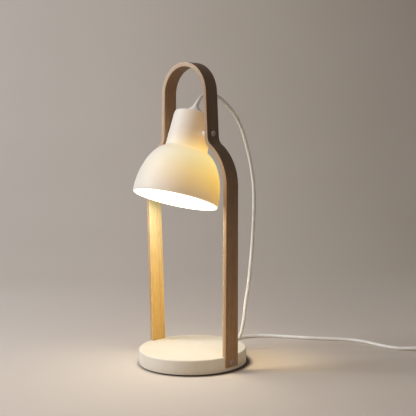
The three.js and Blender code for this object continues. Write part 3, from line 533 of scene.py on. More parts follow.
cream_paint()
wood("wood_face", (0.46, 0.275, 0.135), (0.38, 0.215, 0.10), (0.26, 0.14, 0.065), 0.5)
# The outer faces: the face wood with painted shade, darker from the shoulders over the handle, lighter down
# the legs
wood("wood_outer_painted_light", (0.46, 0.29, 0.16), (0.37, 0.22, 0.12), (0.25, 0.145, 0.08), 0.5,
     painted_light_tone=[(0.0, (1.2, 1.15, 1.0)), (0.2, (0.95, 0.93, 0.88)), (0.27, (0.68, 0.66, 0.62)),
           (0.31, (0.37, 0.37, 0.36)), (0.36, (0.42, 0.41, 0.4)), (0.64, (0.42, 0.41, 0.4)),
           (0.69, (0.37, 0.37, 0.36)), (0.73, (0.68, 0.66, 0.62)), (0.8, (0.95, 0.93, 0.88)),
           (1.0, (1.2, 1.15, 1.0))])
# The edges: a lighter wood, with painted light and shade along the strip
wood("wood_edge_painted_light", (0.68, 0.52, 0.38), (0.62, 0.46, 0.32), (0.52, 0.37, 0.25), 0.55, 0.35,
     painted_light_tone=[(0.0, (0.82, 0.7, 0.52)), (0.1, (0.88, 0.76, 0.6)), (0.2, (1.05, 0.94, 0.74)),
           (0.26, (0.98, 0.88, 0.72)), (0.32, (0.76, 0.71, 0.64)), (0.42, (0.78, 0.74, 0.68)),
           (0.46, (1.04, 1.05, 1.06)), (0.56, (1.04, 1.05, 1.06)), (0.62, (1.04, 0.97, 0.92)),
           (0.72, (0.96, 0.87, 0.76)), (0.8, (0.88, 0.77, 0.6)), (1.0, (0.94, 0.83, 0.67))])
porcelain()
porcelain_inside()
plastic("white_plastic", (0.93, 0.925, 0.91), 0.38)
plastic("cord_white", (0.91, 0.895, 0.87), 0.42, 500.0, 0.2)
plastic("nylon", (0.76, 0.74, 0.68), 0.45)
plastic("dark_sleeve", (0.035, 0.035, 0.038), 0.35, vary=0.15)
metal("steel", (0.56, 0.56, 0.57), 0.38)
metal("satin_nickel", (0.60, 0.57, 0.53), 0.34)
# A darker, rougher copy of the satin nickel, for the screw heads
metal("dull_nickel", (0.43, 0.38, 0.34), 0.45)
metal("brass", (0.74, 0.54, 0.25), 0.32)
metal("cast_iron", (0.09, 0.09, 0.095), 0.62, 350.0, 0.6)
foam_rubber()
opal_glass()
black_glass()

# Camera, as fitted to the photograph
CAMERA_AT = (942.943, -929.8475, 350.6448)
YAW, PITCH, ROLL = -0.7712660, 0.0749444, -0.0120435
FOCAL_PX, PHOTO_PX, SENSOR = 824.2363, 416, 36.0
forward = Vector((math.sin(YAW) * math.cos(PITCH), math.cos(YAW) * math.cos(PITCH), -math.sin(PITCH)))
right = Vector((math.cos(YAW), -math.sin(YAW), 0))
up = right.cross(forward)
axes = Matrix.Identity(3)
axes.col[0] = right * math.cos(ROLL) + up * math.sin(ROLL)
axes.col[1] = up * math.cos(ROLL) - right * math.sin(ROLL)
axes.col[2] = -forward
data = bpy.data.cameras.new("camera")
data.sensor_width = SENSOR
data.lens = FOCAL_PX * SENSOR / PHOTO_PX
data.clip_start, data.clip_end = 0.05, 40
camera = add("camera", data)
camera.matrix_world = Matrix.Translation(Vector(CAMERA_AT) * MM) @ axes.to_4x4()
bpy.context.scene.camera = camera


# Free cord: from the grip over the back of the lamp, and along the table into the switch
def grip_place(s):
    """The cord grip's middle line in the shade's own frame: straight, then leaning to the back."""
    turn = max(0.0, s - GRIP_STRAIGHT) / GRIP_BEND
    rise = min(s, GRIP_STRAIGHT) + GRIP_BEND * math.sin(turn)
    return Vector((0, GRIP_BEND * (1 - math.cos(turn)), GRIP_SEAT + rise))


# The 2nd to 4th and the 19th to 29th points were moved by a scratch solver, to ease the bends
ROUTE = [
    (0, 32, 430.1), (0, 42.9, 433.9), (0, 53.9, 433.4), (0, 64.5, 429.5), (0, 75, 424.4), (0, 86, 417.8),
    (0, 98, 408.9), (0, 111, 396.4), (0, 122, 381.4), (0, 131, 363.9), (0, 140, 340.9), (0, 149, 310.9),
    (0, 154.5, 280.9), (0, 155.6, 246.9), (0, 153.4, 211.9), (0, 149.8, 176.9), (0, 145, 141.9),
    (0, 139, 106.9), (0, 130.5, 72.1), (3.3, 121.2, 43.8), (4, 111.8, 21.8), (-2.8, 106.1, 9.4),
    (-14.1, 102.2, 2.2), (-27.4, 100.9, 0), (-38.4, 103.8, 0), (-48.7, 111.9, 0), (-55.1, 125.6, 0),
    (-53.9, 144.9, 0), (-46.5, 161.9, 0), (-43, 179, 0), (-36.5, 193, 0), (-26, 204.6, 0), (-12, 215, 0),
    (6, 225.4, 0), (26, 235, 0), (47, 245.4, 0), (67, 257.4, 0), (87, 270.5, 0), (108, 281.8, 0),
    (130, 287.4, 0), (153, 287, 0), (175, 284.2, 0), (195, 283.6, 0), (213, 288, 0.2),
]
way_out = Vector((0, math.sin(GRIP_LEAN), math.cos(GRIP_LEAN)))
start = [SHADE_M @ (grip_place(GRIP_LEN) + way_out * d) for d in (FIT, FIT + 6)]
entry = [LEAD_M @ Vector((x, 0, SWITCH_SPLIT)) for x in (-12, -6, 0, CORD_IN)]
route = catmull(start + [Vector((x, y, z + CORD_R + CORD_LIFT)) for x, y, z in ROUTE] + entry, 6)
free_cord = tube("cord_free", route, CORD_R, None, "cord_white", ["power_cord"])


# Wound cord: from the switch through the coil to the plug
def coil_place(t):
    """The coil after t turns. It grows and shrinks again, and climbs to its upper layer in half a turn."""
    a = math.pi / 2 - 2 * math.pi * t
    r = COIL_R - COIL_PITCH * min(t, TURNS - t)
    c = min(max((t - TURNS / 2 + 0.25) / 0.5, 0), 1)
    climb = c * c * (3 - 2 * c)
    return Vector((COIL_X + r * math.cos(a), -COIL_R + r * math.sin(a), COIL_LOW + COIL_PITCH * climb))


COIL_STEPS = 168
COIL_HIGH = COIL_LOW + COIL_PITCH
link = catmull([(SWITCH_L - CORD_IN, 0, SWITCH_SPLIT), (66, 0, SWITCH_SPLIT), (LINK_END - 6, 0, COIL_LOW),
                (LINK_END, 0, COIL_LOW)], 10)
coil = [coil_place(TURNS * k / COIL_STEPS) for k in range(COIL_STEPS + 1)]
tail = catmull([(LINK_END, -2 * COIL_R, COIL_HIGH), (COIL_X - 12, -2 * COIL_R, COIL_HIGH),
                (TAIL_END + 6, -2 * COIL_R, PLUG_Z), (TAIL_END, -2 * COIL_R, PLUG_Z)], 8)
wound = [LEAD_M @ p for p in link + coil + tail]
wound_cord = tube("cord_wound", wound, CORD_R, "stand", "cord_white", ["cord_link", "cord_coil", "cord_tail"])


# Base
def out_to(side):
    """Turns a piece that is drawn along its Z to the lamp's right (1) or left (-1)."""
    return Matrix.Rotation(side * math.pi / 2, 4, "Y")


def leg_x(z):
    return BASE_R - FOOT_SUNK - HALF_T + (z - BASE_TOP) * math.tan(LEAN_LEG)


def strip_width(z):
    top = HANDLE + HANDLE_R + HALF_T
    return FOOT_W + (HANDLE_W - FOOT_W) * (z - FOOT_Z) / (top - FOOT_Z)


FOOT_FACE = leg_x(FOOT_SCREW_Z) + HALF_T / math.cos(LEAN_LEG)
NOTCH = leg_x(FOOT_Z) - HALF_T / math.cos(LEAN_LEG) - FIT

base_line = [(0, HOLLOW_TOP), (HOLLOW_R, HOLLOW_TOP), (HOLLOW_R, BASE_UNDER)]
base_line += [(BASE_R - BASE_LOW_EDGE, BASE_UNDER), (BASE_R - 0.2, BASE_UNDER + 0.25),
              (BASE_R, BASE_UNDER + BASE_LOW_EDGE)]
base_line += arc(BASE_R - BASE_EDGE, BASE_TOP - BASE_EDGE, BASE_EDGE, 0, math.pi / 2, 10)
base_line += [(r, BASE_TOP) for r in (70, 40, 12, 0)]
base = lathe("base", base_line, "stand", "cream_paint", ["base_disc"], n=192)
tools = []
for s in (-1, 1):
    ends = sorted((s * NOTCH, s * (BASE_R + PAST)))
    tools.append(box_cutter(*ends, strip_width(FOOT_Z) / 2 + FIT, FOOT_Z - FIT, BASE_TOP + PAST))
    tools.append(cutter(rod(INSERT_BORE, NOTCH - INSERT_DEPTH, NOTCH + PAST),
                        Matrix.Translation((0, 0, FOOT_SCREW_Z)) @ out_to(s)))
for k in range(3):
    turn = Matrix.Rotation(2 * math.pi * (k + 0.5) / 3, 4, "Z") @ Matrix.Translation((WEIGHT_SCREW_AT, 0, 0))
    tools.append(cutter(rod(WEIGHT_SCREW_BORE, HOLLOW_TOP - PAST, WEIGHT_SCREW_TOP), turn, 24))
carve(base, tools)


# Bent strip
def strip_line():
    """The middle line of the strip's right half as (x, z, angle of its outward normal), from the top down."""
    upper = Vector((PIVOT_X + (PIVOT - SHOULDER) * math.tan(LEAN_UP) + UPPER_BEND * math.cos(LEAN_UP),
                    SHOULDER + UPPER_BEND * math.sin(LEAN_UP)))
    out = Vector((math.cos(LEAN_LEG), -math.sin(LEAN_LEG)))
    foot = Vector((leg_x(BASE_TOP), BASE_TOP))
    both = UPPER_BEND + LOWER_BEND
    turn = math.acos((upper.dot(out) - foot.dot(out) + LOWER_BEND) / both) - LEAN_LEG
    lower = (upper.x - both * math.cos(turn), upper.y - both * math.sin(turn))
    line = []
    for centre, r, a0, a1, n in (((0, HANDLE), HANDLE_R, math.pi / 2, LEAN_UP, 44),
                                 (upper, -UPPER_BEND, LEAN_UP, turn, 18),
                                 (lower, LOWER_BEND, turn, -LEAN_LEG, 34)):
        line += [(x, z, a0 + (a1 - a0) * k / n) for k, (x, z) in enumerate(arc(*centre, r, a0, a1, n))]
    knee = line[-1][1]
    leg = [knee + (FOOT_Z - knee) * k / 24 for k in range(1, 25)]
    line += [(leg_x(z), z, -LEAN_LEG) for z in leg]
    # points that fall together go, and the straight upright gets points of its own
    apart, long_step, step = 0.3, 14, 10
    kept = line[:1]
    for p in line[1:]:
        gap = math.dist(p[:2], kept[-1][:2])
        if gap > long_step:
            n = int(gap // step)
            a = kept[-1]
            kept += [tuple(a[i] + (p[i] - a[i]) * k / n for i in range(3)) for k in range(1, n)]
        if gap > apart:
            kept.append(p)
    return kept


def strip_section(z):
    """The strip's rounded section as (outwards, across), with five points to a corner."""
    w = strip_width(z) / 2
    out = []
    for corner, (sx, sy) in enumerate(((1, 1), (-1, 1), (-1, -1), (1, -1))):
        a = corner * math.pi / 2
        out += arc(sx * (HALF_T - STRIP_EDGE), sy * (w - STRIP_EDGE), STRIP_EDGE, a, a + math.pi / 2, 4)
    return out


FACE, EDGE, OUTER = 0, 1, 2
half = strip_line()
stations = [(p, 1) for p in reversed(half)] + [(p, -1) for p in half[1:]]
rings = [[(s * (x + o * math.cos(a)), y, z + o * math.sin(a)) for o, y in strip_section(z)]
         for (x, z, a), s in stations]
around = strip_section(FOOT_Z)
around.append(around[0])
verts, faces, uvs = skin(rings, us=running_length([(s * x, z) for (x, z, _), s in stations]),
                         vs=running_length(around))
sides = []
for (o0, y0), (o1, y1) in zip(around, around[1:]):
    sides.append(EDGE if abs(y0 + y1) / 2 > FOOT_W / 2 - 0.5 else (OUTER if o0 + o1 > 0 else FACE))
strip = build("bent_strip", verts, faces, uvs, WORLD, "stand", ["wood_face", "wood_edge_painted_light", "wood_outer_painted_light"],
              ["bentwood_frame"], 40, sides * (len(stations) - 1) + [EDGE, EDGE])
tools = []
for s in (-1, 1):
    for z, face in ((FOOT_SCREW_Z, FOOT_FACE), (PIVOT, PIVOT_FACE)):
        inner, seat, head = face - 2 * STRIP_T, face - SCREW_SINK, SCREW_HEAD + FIT
        tools.append(cutter([(0, inner), (SCREW_BORE, inner), (SCREW_BORE, seat), (head, seat),
                             (head, face + PAST), (0, face + PAST)],
                            Matrix.Translation((0, 0, z)) @ out_to(s), 64))
carve(strip, tools, 40)


# Screws
def headed_screw(name, face, tip, z, s, body, node):
    """A screw with a low domed head and a hexagon socket, sunk into the strip's outer face."""
    seat = face - SCREW_SINK + FIT
    top = seat + SCREW_HEAD_H
    profile = [(0, tip), (SCREW_R - 0.4, tip), (SCREW_R, tip + 0.4), (SCREW_R, seat), (SCREW_HEAD, seat)]
    profile += arc(SCREW_HEAD - 0.35, top - 0.9, 0.35, 0, math.pi / 3, 4)
    profile += [(SCREW_HEAD * k / 6, top - SCREW_DOME * (k / 6) ** 2) for k in range(5, -1, -1)]
    place = Matrix.Translation((0, 0, z)) @ out_to(s)
    screw = lathe(name, profile, body, "dull_nickel", [node], place, 64)
    carve(screw, [cutter(rod(SOCKET_R, top - SOCKET_DEPTH, top + PAST), place, 6)], 30)


SIDES = (("left", -1), ("right", 1))
for label, s in SIDES:
    headed_screw(f"foot_bolt_{label}", FOOT_FACE, NOTCH - FIT - 11, FOOT_SCREW_Z, s, "stand",
                 f"foot_screw_{label}")


# Shade
def dome(outwards):
    line = bezier((NECK_ROOT_R, -NECK_ROOT),
                  (NECK_ROOT_R + PULL * math.sin(SLOPE), -NECK_ROOT - PULL * math.cos(SLOPE)),
                  (DOME_R, -DOME_D + RIM_PULL), (DOME_R, -DOME_D), 56)
    return [(x + nx * outwards, y + ny * outwards) for (x, y), (nx, ny) in zip(line, normals(line))]


def neck_r(h):
    return NECK_TOP_R + (NECK_ROOT_R - NECK_TOP_R) * (NECK_TOP - h) / (NECK_TOP + NECK_ROOT)


outer = [(NIPPLE_BORE, NECK_TOP + NECK_CROWN), (10, 34.8), (NECK_TOP_R / 2, 34.6), (22, 34.2)]
outer += arc(NECK_TOP_R - NECK_CORNER, NECK_TOP - NECK_CORNER, NECK_CORNER, math.pi / 2, 0, 10)
outer += [(neck_r(h), h) for h in (24, 16, 8, 0, -8, -16, -23, -24.6)]
outer += [(NECK_ROOT_R + 0.25, -25.7), (NECK_ROOT_R + 1.0, -26.45)]
outer += dome(0)[2:]
lip = arc(DOME_R - WALL / 2, -DOME_D, WALL / 2, 0, -math.pi, 12)[1:-1]
inner = dome(-WALL)[::-1][:-2]
inner += [(NECK_ROOT_R - WALL, -NECK_ROOT - 1.0), (neck_r(0) - WALL, 0), (NECK_TOP_R - WALL, 27.3),
          (NECK_TOP_R - WALL - 0.9, 29.6), (NECK_TOP_R - 2 * WALL, 30.5), (NIPPLE_BORE, 30.5)]
profile = outer + lip + inner
# the outer material goes a third of the way round the lip
SHADE_SIDES, outside = 160, len(outer) + 4
lathe("shade", profile, "shade", ["porcelain", "porcelain_inside"], ["shade_shell"], SHADE_M, SHADE_SIDES, 40,
      [int(i >= outside) for i in range(len(profile)) for _ in range(SHADE_SIDES)])

# Pivots
WASHER_SEAT = PIVOT_X - HALF_T / math.cos(LEAN_UP)
WASHER_TOP = WASHER_SEAT - FIT
WASHER_LOW = WASHER_TOP - WASHER_T
BOSS_END = WASHER_LOW - FIT
for label, s in SIDES:
    place = SHADE_M @ out_to(s)
    boss = lathe(f"boss_{label}", [(SCREW_BORE, BOSS_ROOT), (BOSS_R, BOSS_ROOT)]
                 + arc(BOSS_R - BOSS_EDGE, BOSS_END - BOSS_EDGE, BOSS_EDGE, 0, math.pi / 2, 6)
                 + [(SCREW_BORE, BOSS_END)],
                 "shade", "white_plastic", [f"pivot_boss_{label}"], place, 64)
    neck_cut = cutter([(0, -14), (neck_r(-14) + 0.1, -14), (neck_r(14) + 0.1, 14), (0, 14)], SHADE_M, 128)
    carve(boss, [neck_cut], 40)
    lathe(f"washer_{label}", [(SCREW_BORE, WASHER_LOW), (WASHER_R - WASHER_EDGE, WASHER_LOW),
                              (WASHER_R, WASHER_LOW + WASHER_EDGE), (WASHER_R, WASHER_TOP - WASHER_EDGE),
                              (WASHER_R - WASHER_EDGE, WASHER_TOP), (SCREW_BORE, WASHER_TOP)],
          "shade", "nylon", [f"pivot_washer_{label}"], place, 64)
    headed_screw(f"pivot_bolt_{label}", PIVOT_FACE, 20.3, PIVOT, s, "shade", f"pivot_screw_{label}")

# Cord grip, and the cord's end inside it. The flare gives the bell's width along its length
FLARE = [(0.056, 1), (0.21, 0.8125), (0.35, 0.607), (0.49, 0.348), (0.64, 0.16), (0.79, 0.08), (0.9, 0.054),
         (1, 0.045)]
flare_line = catmull([(at * GRIP_LEN, GRIP_THIN + GRIP_FLARE * share, 0) for at, share in FLARE], 6)
bell = [(0, 14.0), (0.4, 14.5), (1.0, 14.45)] + [(p.x, p.y) for p in flare_line[2:-1]] + [(GRIP_LEN, 3.72)]
grip = tube("grip_bell", [grip_place(a) for a, _ in bell], [r for _, r in bell], "shade", "white_plastic",
            ["cord_grip"], SHADE_M, 64)
bore_line = [-PAST, 0, 4] + [GRIP_STRAIGHT + k for k in range(12)]
carve(grip, [tube("cutter", [grip_place(a) for a in bore_line], GRIP_BORE, None, "steel", (), SHADE_M, 40),
             cutter(rod(NIPPLE_BORE, GRIP_SEAT - PAST, GRIP_SEAT + NIPPLE_IN), SHADE_M)], 40)
inside_line = [-22, -11, 0, 5, GRIP_STRAIGHT, 10, 11, 12, GRIP_LEN - 5.3]
tube("cord_inside", [grip_place(a) for a in inside_line], CORD_R, "shade", "cord_white", ["cord_lead_in"],
     SHADE_M)


# Lampholder and bulb
def in_shade(name, profile, mats, node, n=64):
    lathe(name, profile, "shade", mats, [node], SHADE_M, n)


def thread(r, low, high, depth=0.3):
    """The wavy side of a round thread, from high down to low, eight points to a turn."""
    n = int((high - low) / THREAD_PITCH * 8)
    drops = [(high - low) * k / n for k in range(n + 1)]
    return [(r - depth * (0.5 - 0.5 * math.cos(2 * math.pi * d / THREAD_PITCH)), high - d) for d in drops]


in_shade("holder_cap", [(NIPPLE_BORE, HOLDER_CAP_TOP), (9.5, HOLDER_CAP_TOP), (11.6, 23.9), (13.2, 22.2),
                        (HOLDER_R, 20.2), (HOLDER_R, 12.4), (13.5, 12.2), (13.5, 11.6), (HOLDER_R, 11.4),
                        (HOLDER_R, HOLDER_CAP_LOW), (11.9, HOLDER_CAP_LOW), (11.9, 19.9), (9.2, 22.8),
                        (NIPPLE_BORE, 22.8)], "white_plastic", "lampholder_cap", 72)
grooves = []
for k in range(6):
    z = 6.5 - 3.4 * k
    grooves += [(HOLDER_R, z), (HOLDER_R - 0.45, z - 0.4), (HOLDER_R - 0.45, z - 1.0), (HOLDER_R, z - 1.4)]
in_shade("holder_body", [(2.8, HOLDER_TOP), (13.5, HOLDER_TOP), (HOLDER_R, 9.6)] + grooves
         + [(HOLDER_R, -16.4), (13.5, -17.4), (12.5, HOLDER_LOW), (8.8, HOLDER_LOW), (8.2, -17.2), (8.2, 2.7),
            (2.8, 2.7)], "white_plastic", "lampholder_body", 72)
sleeve = thread(SLEEVE_R, SLEEVE_LOW, SLEEVE_TOP, 0.2)
in_shade("holder_sleeve", [(7.4, SLEEVE_TOP)] + sleeve + [(r - SLEEVE_T, z) for r, z in reversed(sleeve)],
         "brass", "lampholder_sleeve")
in_shade("bulb_screw_cap", [(0, -1.4), (4.6, -1.4), (6.4, -2.2)] + thread(6.8, -14.8, -2.6)[1:]
         + [(6.75, -15.8), (0, -15.8)], "satin_nickel", "bulb_cap")
in_shade("bulb_neck", [(0, -16.1)] + bezier((6.8, -16.1), (7.0, -20.5), (13.2, -22.5), (14.0, COLLAR_LOW), 16)
         + [(0, COLLAR_LOW)], "white_plastic", "bulb_collar")
globe_z, globe_in, mouth_z = BULB_END + GLOBE_R, GLOBE_R - GLOBE_T, COLLAR_LOW - FIT
mouth, mouth_in = (math.asin((mouth_z - globe_z) / r) for r in (GLOBE_R, globe_in))
in_shade("bulb_globe", arc(0, globe_z, GLOBE_R, mouth, -math.pi / 2, 40)[:-1]
         + [(0, globe_z - GLOBE_R), (0, globe_z - globe_in)]
         + arc(0, globe_z, globe_in, -math.pi / 2, mouth_in, 40)[1:], "opal_glass", "bulb_glass", 96)


# In-line switch
def cord_holes():
    """Cutters for the cord's way into both ends of the switch."""
    return [cutter(rod(CORD_R + FIT, 0, CORD_HOLE + PAST),
                   LEAD_M @ Matrix.Translation((x, 0, SWITCH_SPLIT)) @ ALONG_X, 32)
            for x in (-PAST, SWITCH_L - CORD_HOLE)]


half_l, flat_l, end_w, mid_w = SWITCH_L / 2, 16, 6.5, 12.5
outline = rounded([(-half_l, -end_w), (-flat_l, -mid_w), (flat_l, -mid_w), (half_l, -end_w),
                   (half_l, end_w), (flat_l, mid_w), (-flat_l, mid_w), (-half_l, end_w)],
                  [2.9, 12, 12, 2.9] * 2, 8)
lower = prism("switch_lower", outline, 0.15, SWITCH_SPLIT - FIT / 2, SWITCH_M, "stand", "white_plastic",
              ["switch_lower_housing"], (1.0, 0.25))
screw_wells = [cutter([(0, -PAST), (2.7, -PAST), (2.7, 1.8), (1.5, 1.8), (1.5, 7), (0, 7)],
                      SWITCH_M @ Matrix.Translation((x, 0, 0))) for x in (-SWITCH_SCREW_AT, SWITCH_SCREW_AT)]
carve(lower, screw_wells + cord_holes(), 40)
upper = prism("switch_upper", outline, SWITCH_SPLIT + FIT / 2, SWITCH_TOP, SWITCH_M, "stand", "white_plastic",
              ["switch_upper_housing"], (0.25, 2.4), 7)
window_l, window_w = 8, KEY_W / 2 + FIT
window = rounded([(-window_l, -window_w), (window_l, -window_w), (window_l, window_w), (-window_l, window_w)],
                 0.9)
PIN_M = SWITCH_M @ Matrix.Translation((0, 0, PIN_Z))
carve(upper, [prism("cutter", window, 7.2, SWITCH_TOP + PAST, SWITCH_M, None, "steel"),
              cutter(rod(PIN_BORE, -7.6, 7.6), PIN_M @ ALONG_Y, 24)] + cord_holes(), 40)
key_line = rounded([(-7.4, 5.9), (-6.2, -1.0), (-3.0, -3.0), (3.0, -3.0), (6.2, -1.0), (7.4, 5.9), (0, 4.55)],
                   [0.7, 1.0, 1.0, 1.0, 1.0, 0.7, 16.0])
rocker = prism("switch_key", key_line, -KEY_W / 2, KEY_W / 2,
               PIN_M @ Matrix.Rotation(-KEY_REST, 4, "Y") @ ALONG_Y, "rocker", "white_plastic",
               ["switch_rocker"], (0.45, 0.45), 4)
carve(rocker, [cutter(rod(PIN_BORE, -6, 6), PIN_M @ ALONG_Y, 24)], 40)

# Tie round the coil's windings
tie_x0, tie_x1, tie_z0, tie_z1 = 22.75, 41.7, FIT + TIE_T, 14.3
tie_in, tie_out = (rounded([(tie_x0 - g, tie_z0 - g), (tie_x1 + g, tie_z0 - g), (tie_x1 + g, tie_z1 + g),
                            (tie_x0 - g, tie_z1 + g)], TIE_CORNER + g) for g in (0, TIE_T))
tie_lines = ((tie_out, -1), (tie_out, 1), (tie_in, 1), (tie_in, -1), (tie_out, -1))
verts, faces, uvs = skin([[(x, y, s * TIE_W / 2) for x, y in line] for line, s in tie_lines], caps=False)
tie = build("cord_tie", verts, faces, uvs, TIE_M, "stand", "foam_rubber", ["coil_tie"], 40)

# Plug with its strain relief and prongs
ribs = [(0, -RELIEF_L), (RELIEF_R, -RELIEF_L)]
for k in range(5):
    z = -20.4 + RIB_STEP * k
    r = RELIEF_R - 1.7 * (z + RELIEF_L) / RELIEF_L
    ribs += [(r, z), (r - 0.95, z + 0.15), (r - 1.0, z + 1.3), (r - 0.13, z + 1.5)]
ribs += [(3.95, -1.2), (3.75, -0.3), (3.3, 0), (0, 0)]
relief = lathe("plug_relief", ribs, "stand", "white_plastic", ["plug_strain_relief"], PLUG_M @ ALONG_X, 48)
back, front, back_w, front_w = -RELIEF_L - FIT, -RELIEF_L - FIT - PLUG_L, 6.5, PLUG_W / 2
waist = (back + front) / 2
outline = rounded([(back, back_w), (waist, front_w), (front, front_w), (front, -front_w), (waist, -front_w),
                   (back, -back_w)], [3.4, 14, 3.4] * 2, 8)
plug = prism("plug", outline, -PLUG_T / 2, PLUG_T / 2, PLUG_M, "stand", "white_plastic", ["plug_body"],
             (3.0, 3.0), 7)
prong_places = [PLUG_M @ Matrix.Translation((0, s * PRONG_AT, 0)) @ ALONG_X for _, s in SIDES]
carve(plug, [cutter(rod(PRONG_R + FIT, front - PAST, FIT - PRONG_ROOT), place, 32)
             for place in prong_places], 40)
nose = [(0, -PRONG_END), (0.9, 0.15 - PRONG_END), (1.6, 0.6 - PRONG_END), (PRONG_R, 1.4 - PRONG_END)]
groove = [(PRONG_R, -PRONG_BARE - 0.2), (PRONG_R - 0.1, -PRONG_BARE - 0.1), (PRONG_R, 0.1 - PRONG_BARE)]
root = [(PRONG_R, -PRONG_ROOT - 0.3), (PRONG_R - 0.2, -PRONG_ROOT), (0, -PRONG_ROOT)]
for (label, _), place in zip(SIDES, prong_places):
    prong = lathe(f"plug_prong_{label}", nose + groove + root, "stand", ["satin_nickel", "dark_sleeve"],
                  [f"plug_pin_{label}"], place, 40)
    own = place.inverted()
    for poly in prong.data.polygons:
        poly.material_index = int((own @ (poly.center / MM)).z > -PRONG_BARE)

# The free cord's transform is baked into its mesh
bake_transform(free_cord)

# CAD nodes that stay as they are, under their materials
STAY = {
    "cast_iron": ["base_weight"], "foam_rubber": ["base_pad"],
    "steel": ["weight_screw_1", "weight_screw_2", "weight_screw_3", "pivot_bracket", "pivot_nut_left",
              "pivot_nut_right", "threaded_nipple", "nipple_lock_nut", "switch_pin", "switch_screw_front",
              "switch_screw_back", "bulb_contact"],
    "brass": ["foot_insert_left", "foot_insert_right", "switch_contact_front", "switch_contact_back",
              "lampholder_contact"],
    "black_glass": ["bulb_insulator"],
}
for mat, names in STAY.items():
    for name in names:
        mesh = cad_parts[name].data
        mesh.materials.clear()
        mesh.materials.append(MAT[mat])
        smooth(mesh, 30)

# Floor and backdrop, in metres, along the camera's own directions on the table
SIDE = right.copy()
AWAY = Vector((forward.x, forward.y, 0)).normalized()
LEFT, FRONT = -SIDE, -AWAY
BEND_AT, BEND, WALL_TOP, STAGE_HALF = 0.8, 1.7, 3.4, 4.0
SHADOW_AT = SIDE * 0.0042 + FRONT * 0.001
WORLD_TONE = (0.36, 0.32, 0.28)


def background_rays(tree):
    """1 for the rays that see the background: camera, glossy and transmission rays."""
    path = tree.nodes.new("ShaderNodeLightPath")
    seen = path.outputs["Is Camera Ray"]
    for ray in ("Is Glossy Ray", "Is Transmission Ray"):
        either = tree.nodes.new("ShaderNodeMath")
        either.operation = "MAXIMUM"
        tree.links.new(seen, either.inputs[0])
        tree.links.new(path.outputs[ray], either.inputs[1])
        seen = either.outputs[0]
    return seen


def measure(m, operation, second=None):
    """A vector measure of the point, such as its distance from a second one, or its place along a way."""
    n = m.node("ShaderNodeVectorMath", operation=operation)
    m.link(m.place(), n.inputs[0])
    if second is not None:
        n.inputs[1].default_value = second
    return n.outputs["Value"]


def stage_paint():
    """Floor and wall. A part of their tone is their own light, for the rays that see the background."""
    m = Nodes("studio", (0.51, 0.46, 0.41), 0.85)
    plain = m.ramp(m.noise(3, 2), [(0.3, (0.505, 0.452, 0.405)), (0.7, (0.52, 0.467, 0.42))])
    # a painted contact shadow: the table is darker where the base stands and just round it, most on the side
    # away from the key
    painted_shadow_mask = m.spread(measure(m, "DISTANCE", SHADOW_AT), 0, 1, 0.0865, 0.0955)
    contact = m.ramp(painted_shadow_mask, [(0.0, (0.1, 0.08, 0.07)), (0.35, (0.5, 0.46, 0.44)), (1.0, (1, 1, 1))])
    # far out, and sooner on the key's side, it turns into the tone of the world, so that its ends don't show
    fade = m.node("ShaderNodeMath", operation="MAXIMUM")
    m.link(m.spread(measure(m, "LENGTH"), 0, 1, 2.95, 3.9), fade.inputs[0])
    m.link(m.spread(measure(m, "DOT_PRODUCT", LEFT * 0.9 + FRONT * 0.44), 0, 1, 0.65, 2.0), fade.inputs[1])
    fade = fade.outputs[0]
    m.feed("Specular IOR Level", m.spread(fade, 0.5, 0.0))
    m.feed("Base Color", m.mix(fade, m.mix(1.0, plain, contact, "MULTIPLY"), (0, 0, 0)))
    aside, behind = measure(m, "DOT_PRODUCT", SIDE), measure(m, "DOT_PRODUCT", AWAY)
    # near, middle and far aren't chosen by hand: a scratch program fitted them to the photograph's background
    near = m.ramp(m.spread(aside, 0, 1, -0.5, 0.5), [
        (0.1, (0.182, 0.165, 0.16)), (0.4, (0.17, 0.138, 0.122)), (0.6, (0.14, 0.111, 0.093)),
        (0.85, (0.084, 0.067, 0.053))])
    middle = m.ramp(m.spread(aside, 0, 1, -1.0, 1.0), [
        (0.16, (0.115, 0.1, 0.091)), (0.38, (0.129, 0.107, 0.093)), (0.62, (0.094, 0.076, 0.059)),
        (0.84, (0.043, 0.029, 0.016))])
    far = m.ramp(m.spread(aside, 0, 1, -1.0, 1.0), [
        (0.0, (0.17, 0.15, 0.14)), (0.34, (0.15, 0.127, 0.109)), (0.66, (0.09, 0.072, 0.054)),
        (1.0, (0.028, 0.015, 0.006))])
    # the emitted tones paint the light's fall-off, brighter on the key's side and darker away from it
    painted_light_tone = m.mix(m.spread(behind, 0, 1, 0.05, 0.9), near, middle)
    painted_light_tone = m.mix(m.spread(behind, 0, 1, 1.3, 2.4), painted_light_tone, far)
    m.feed("Emission Color", m.mix(fade, m.mix(1.0, painted_light_tone, contact, "MULTIPLY"), WORLD_TONE))
    m.feed("Emission Strength", background_rays(m.tree))


def backdrop():
    """A floor that turns up into a wall behind the lamp."""
    stage_paint()
    line = [(-STAGE_HALF, 0.0)] + arc(BEND_AT, BEND, BEND, -math.pi / 2, 0, 32) + [(BEND_AT + BEND, WALL_TOP)]
    verts = [AWAY * d + SIDE * w + Vector((0, 0, h)) for d, h in line for w in (-STAGE_HALF, STAGE_HALF)]
    faces = [(2 * k, 2 * k + 1, 2 * k + 3, 2 * k + 2) for k in range(len(line) - 1)]
    mesh = bpy.data.meshes.new("studio")
    mesh.from_pydata(verts, [], faces)
    mesh.polygons.foreach_set("use_smooth", [True] * len(mesh.polygons))
    mesh.materials.append(MAT["studio"])
    obj = add("studio", mesh)
    return obj


studio = backdrop()


# Lights
def lamp(kind, name, place, watts, colour, at, **more):
    light = bpy.data.lights.new(name, kind)
    light.energy = watts
    light.color = colour
    for key, value in more.items():
        setattr(light, key, value)
    obj = add(name, light)
    obj.location = place
    obj.rotation_euler = (Vector(at) - obj.location).to_track_quat("-Z", "Y").to_euler()
    return obj


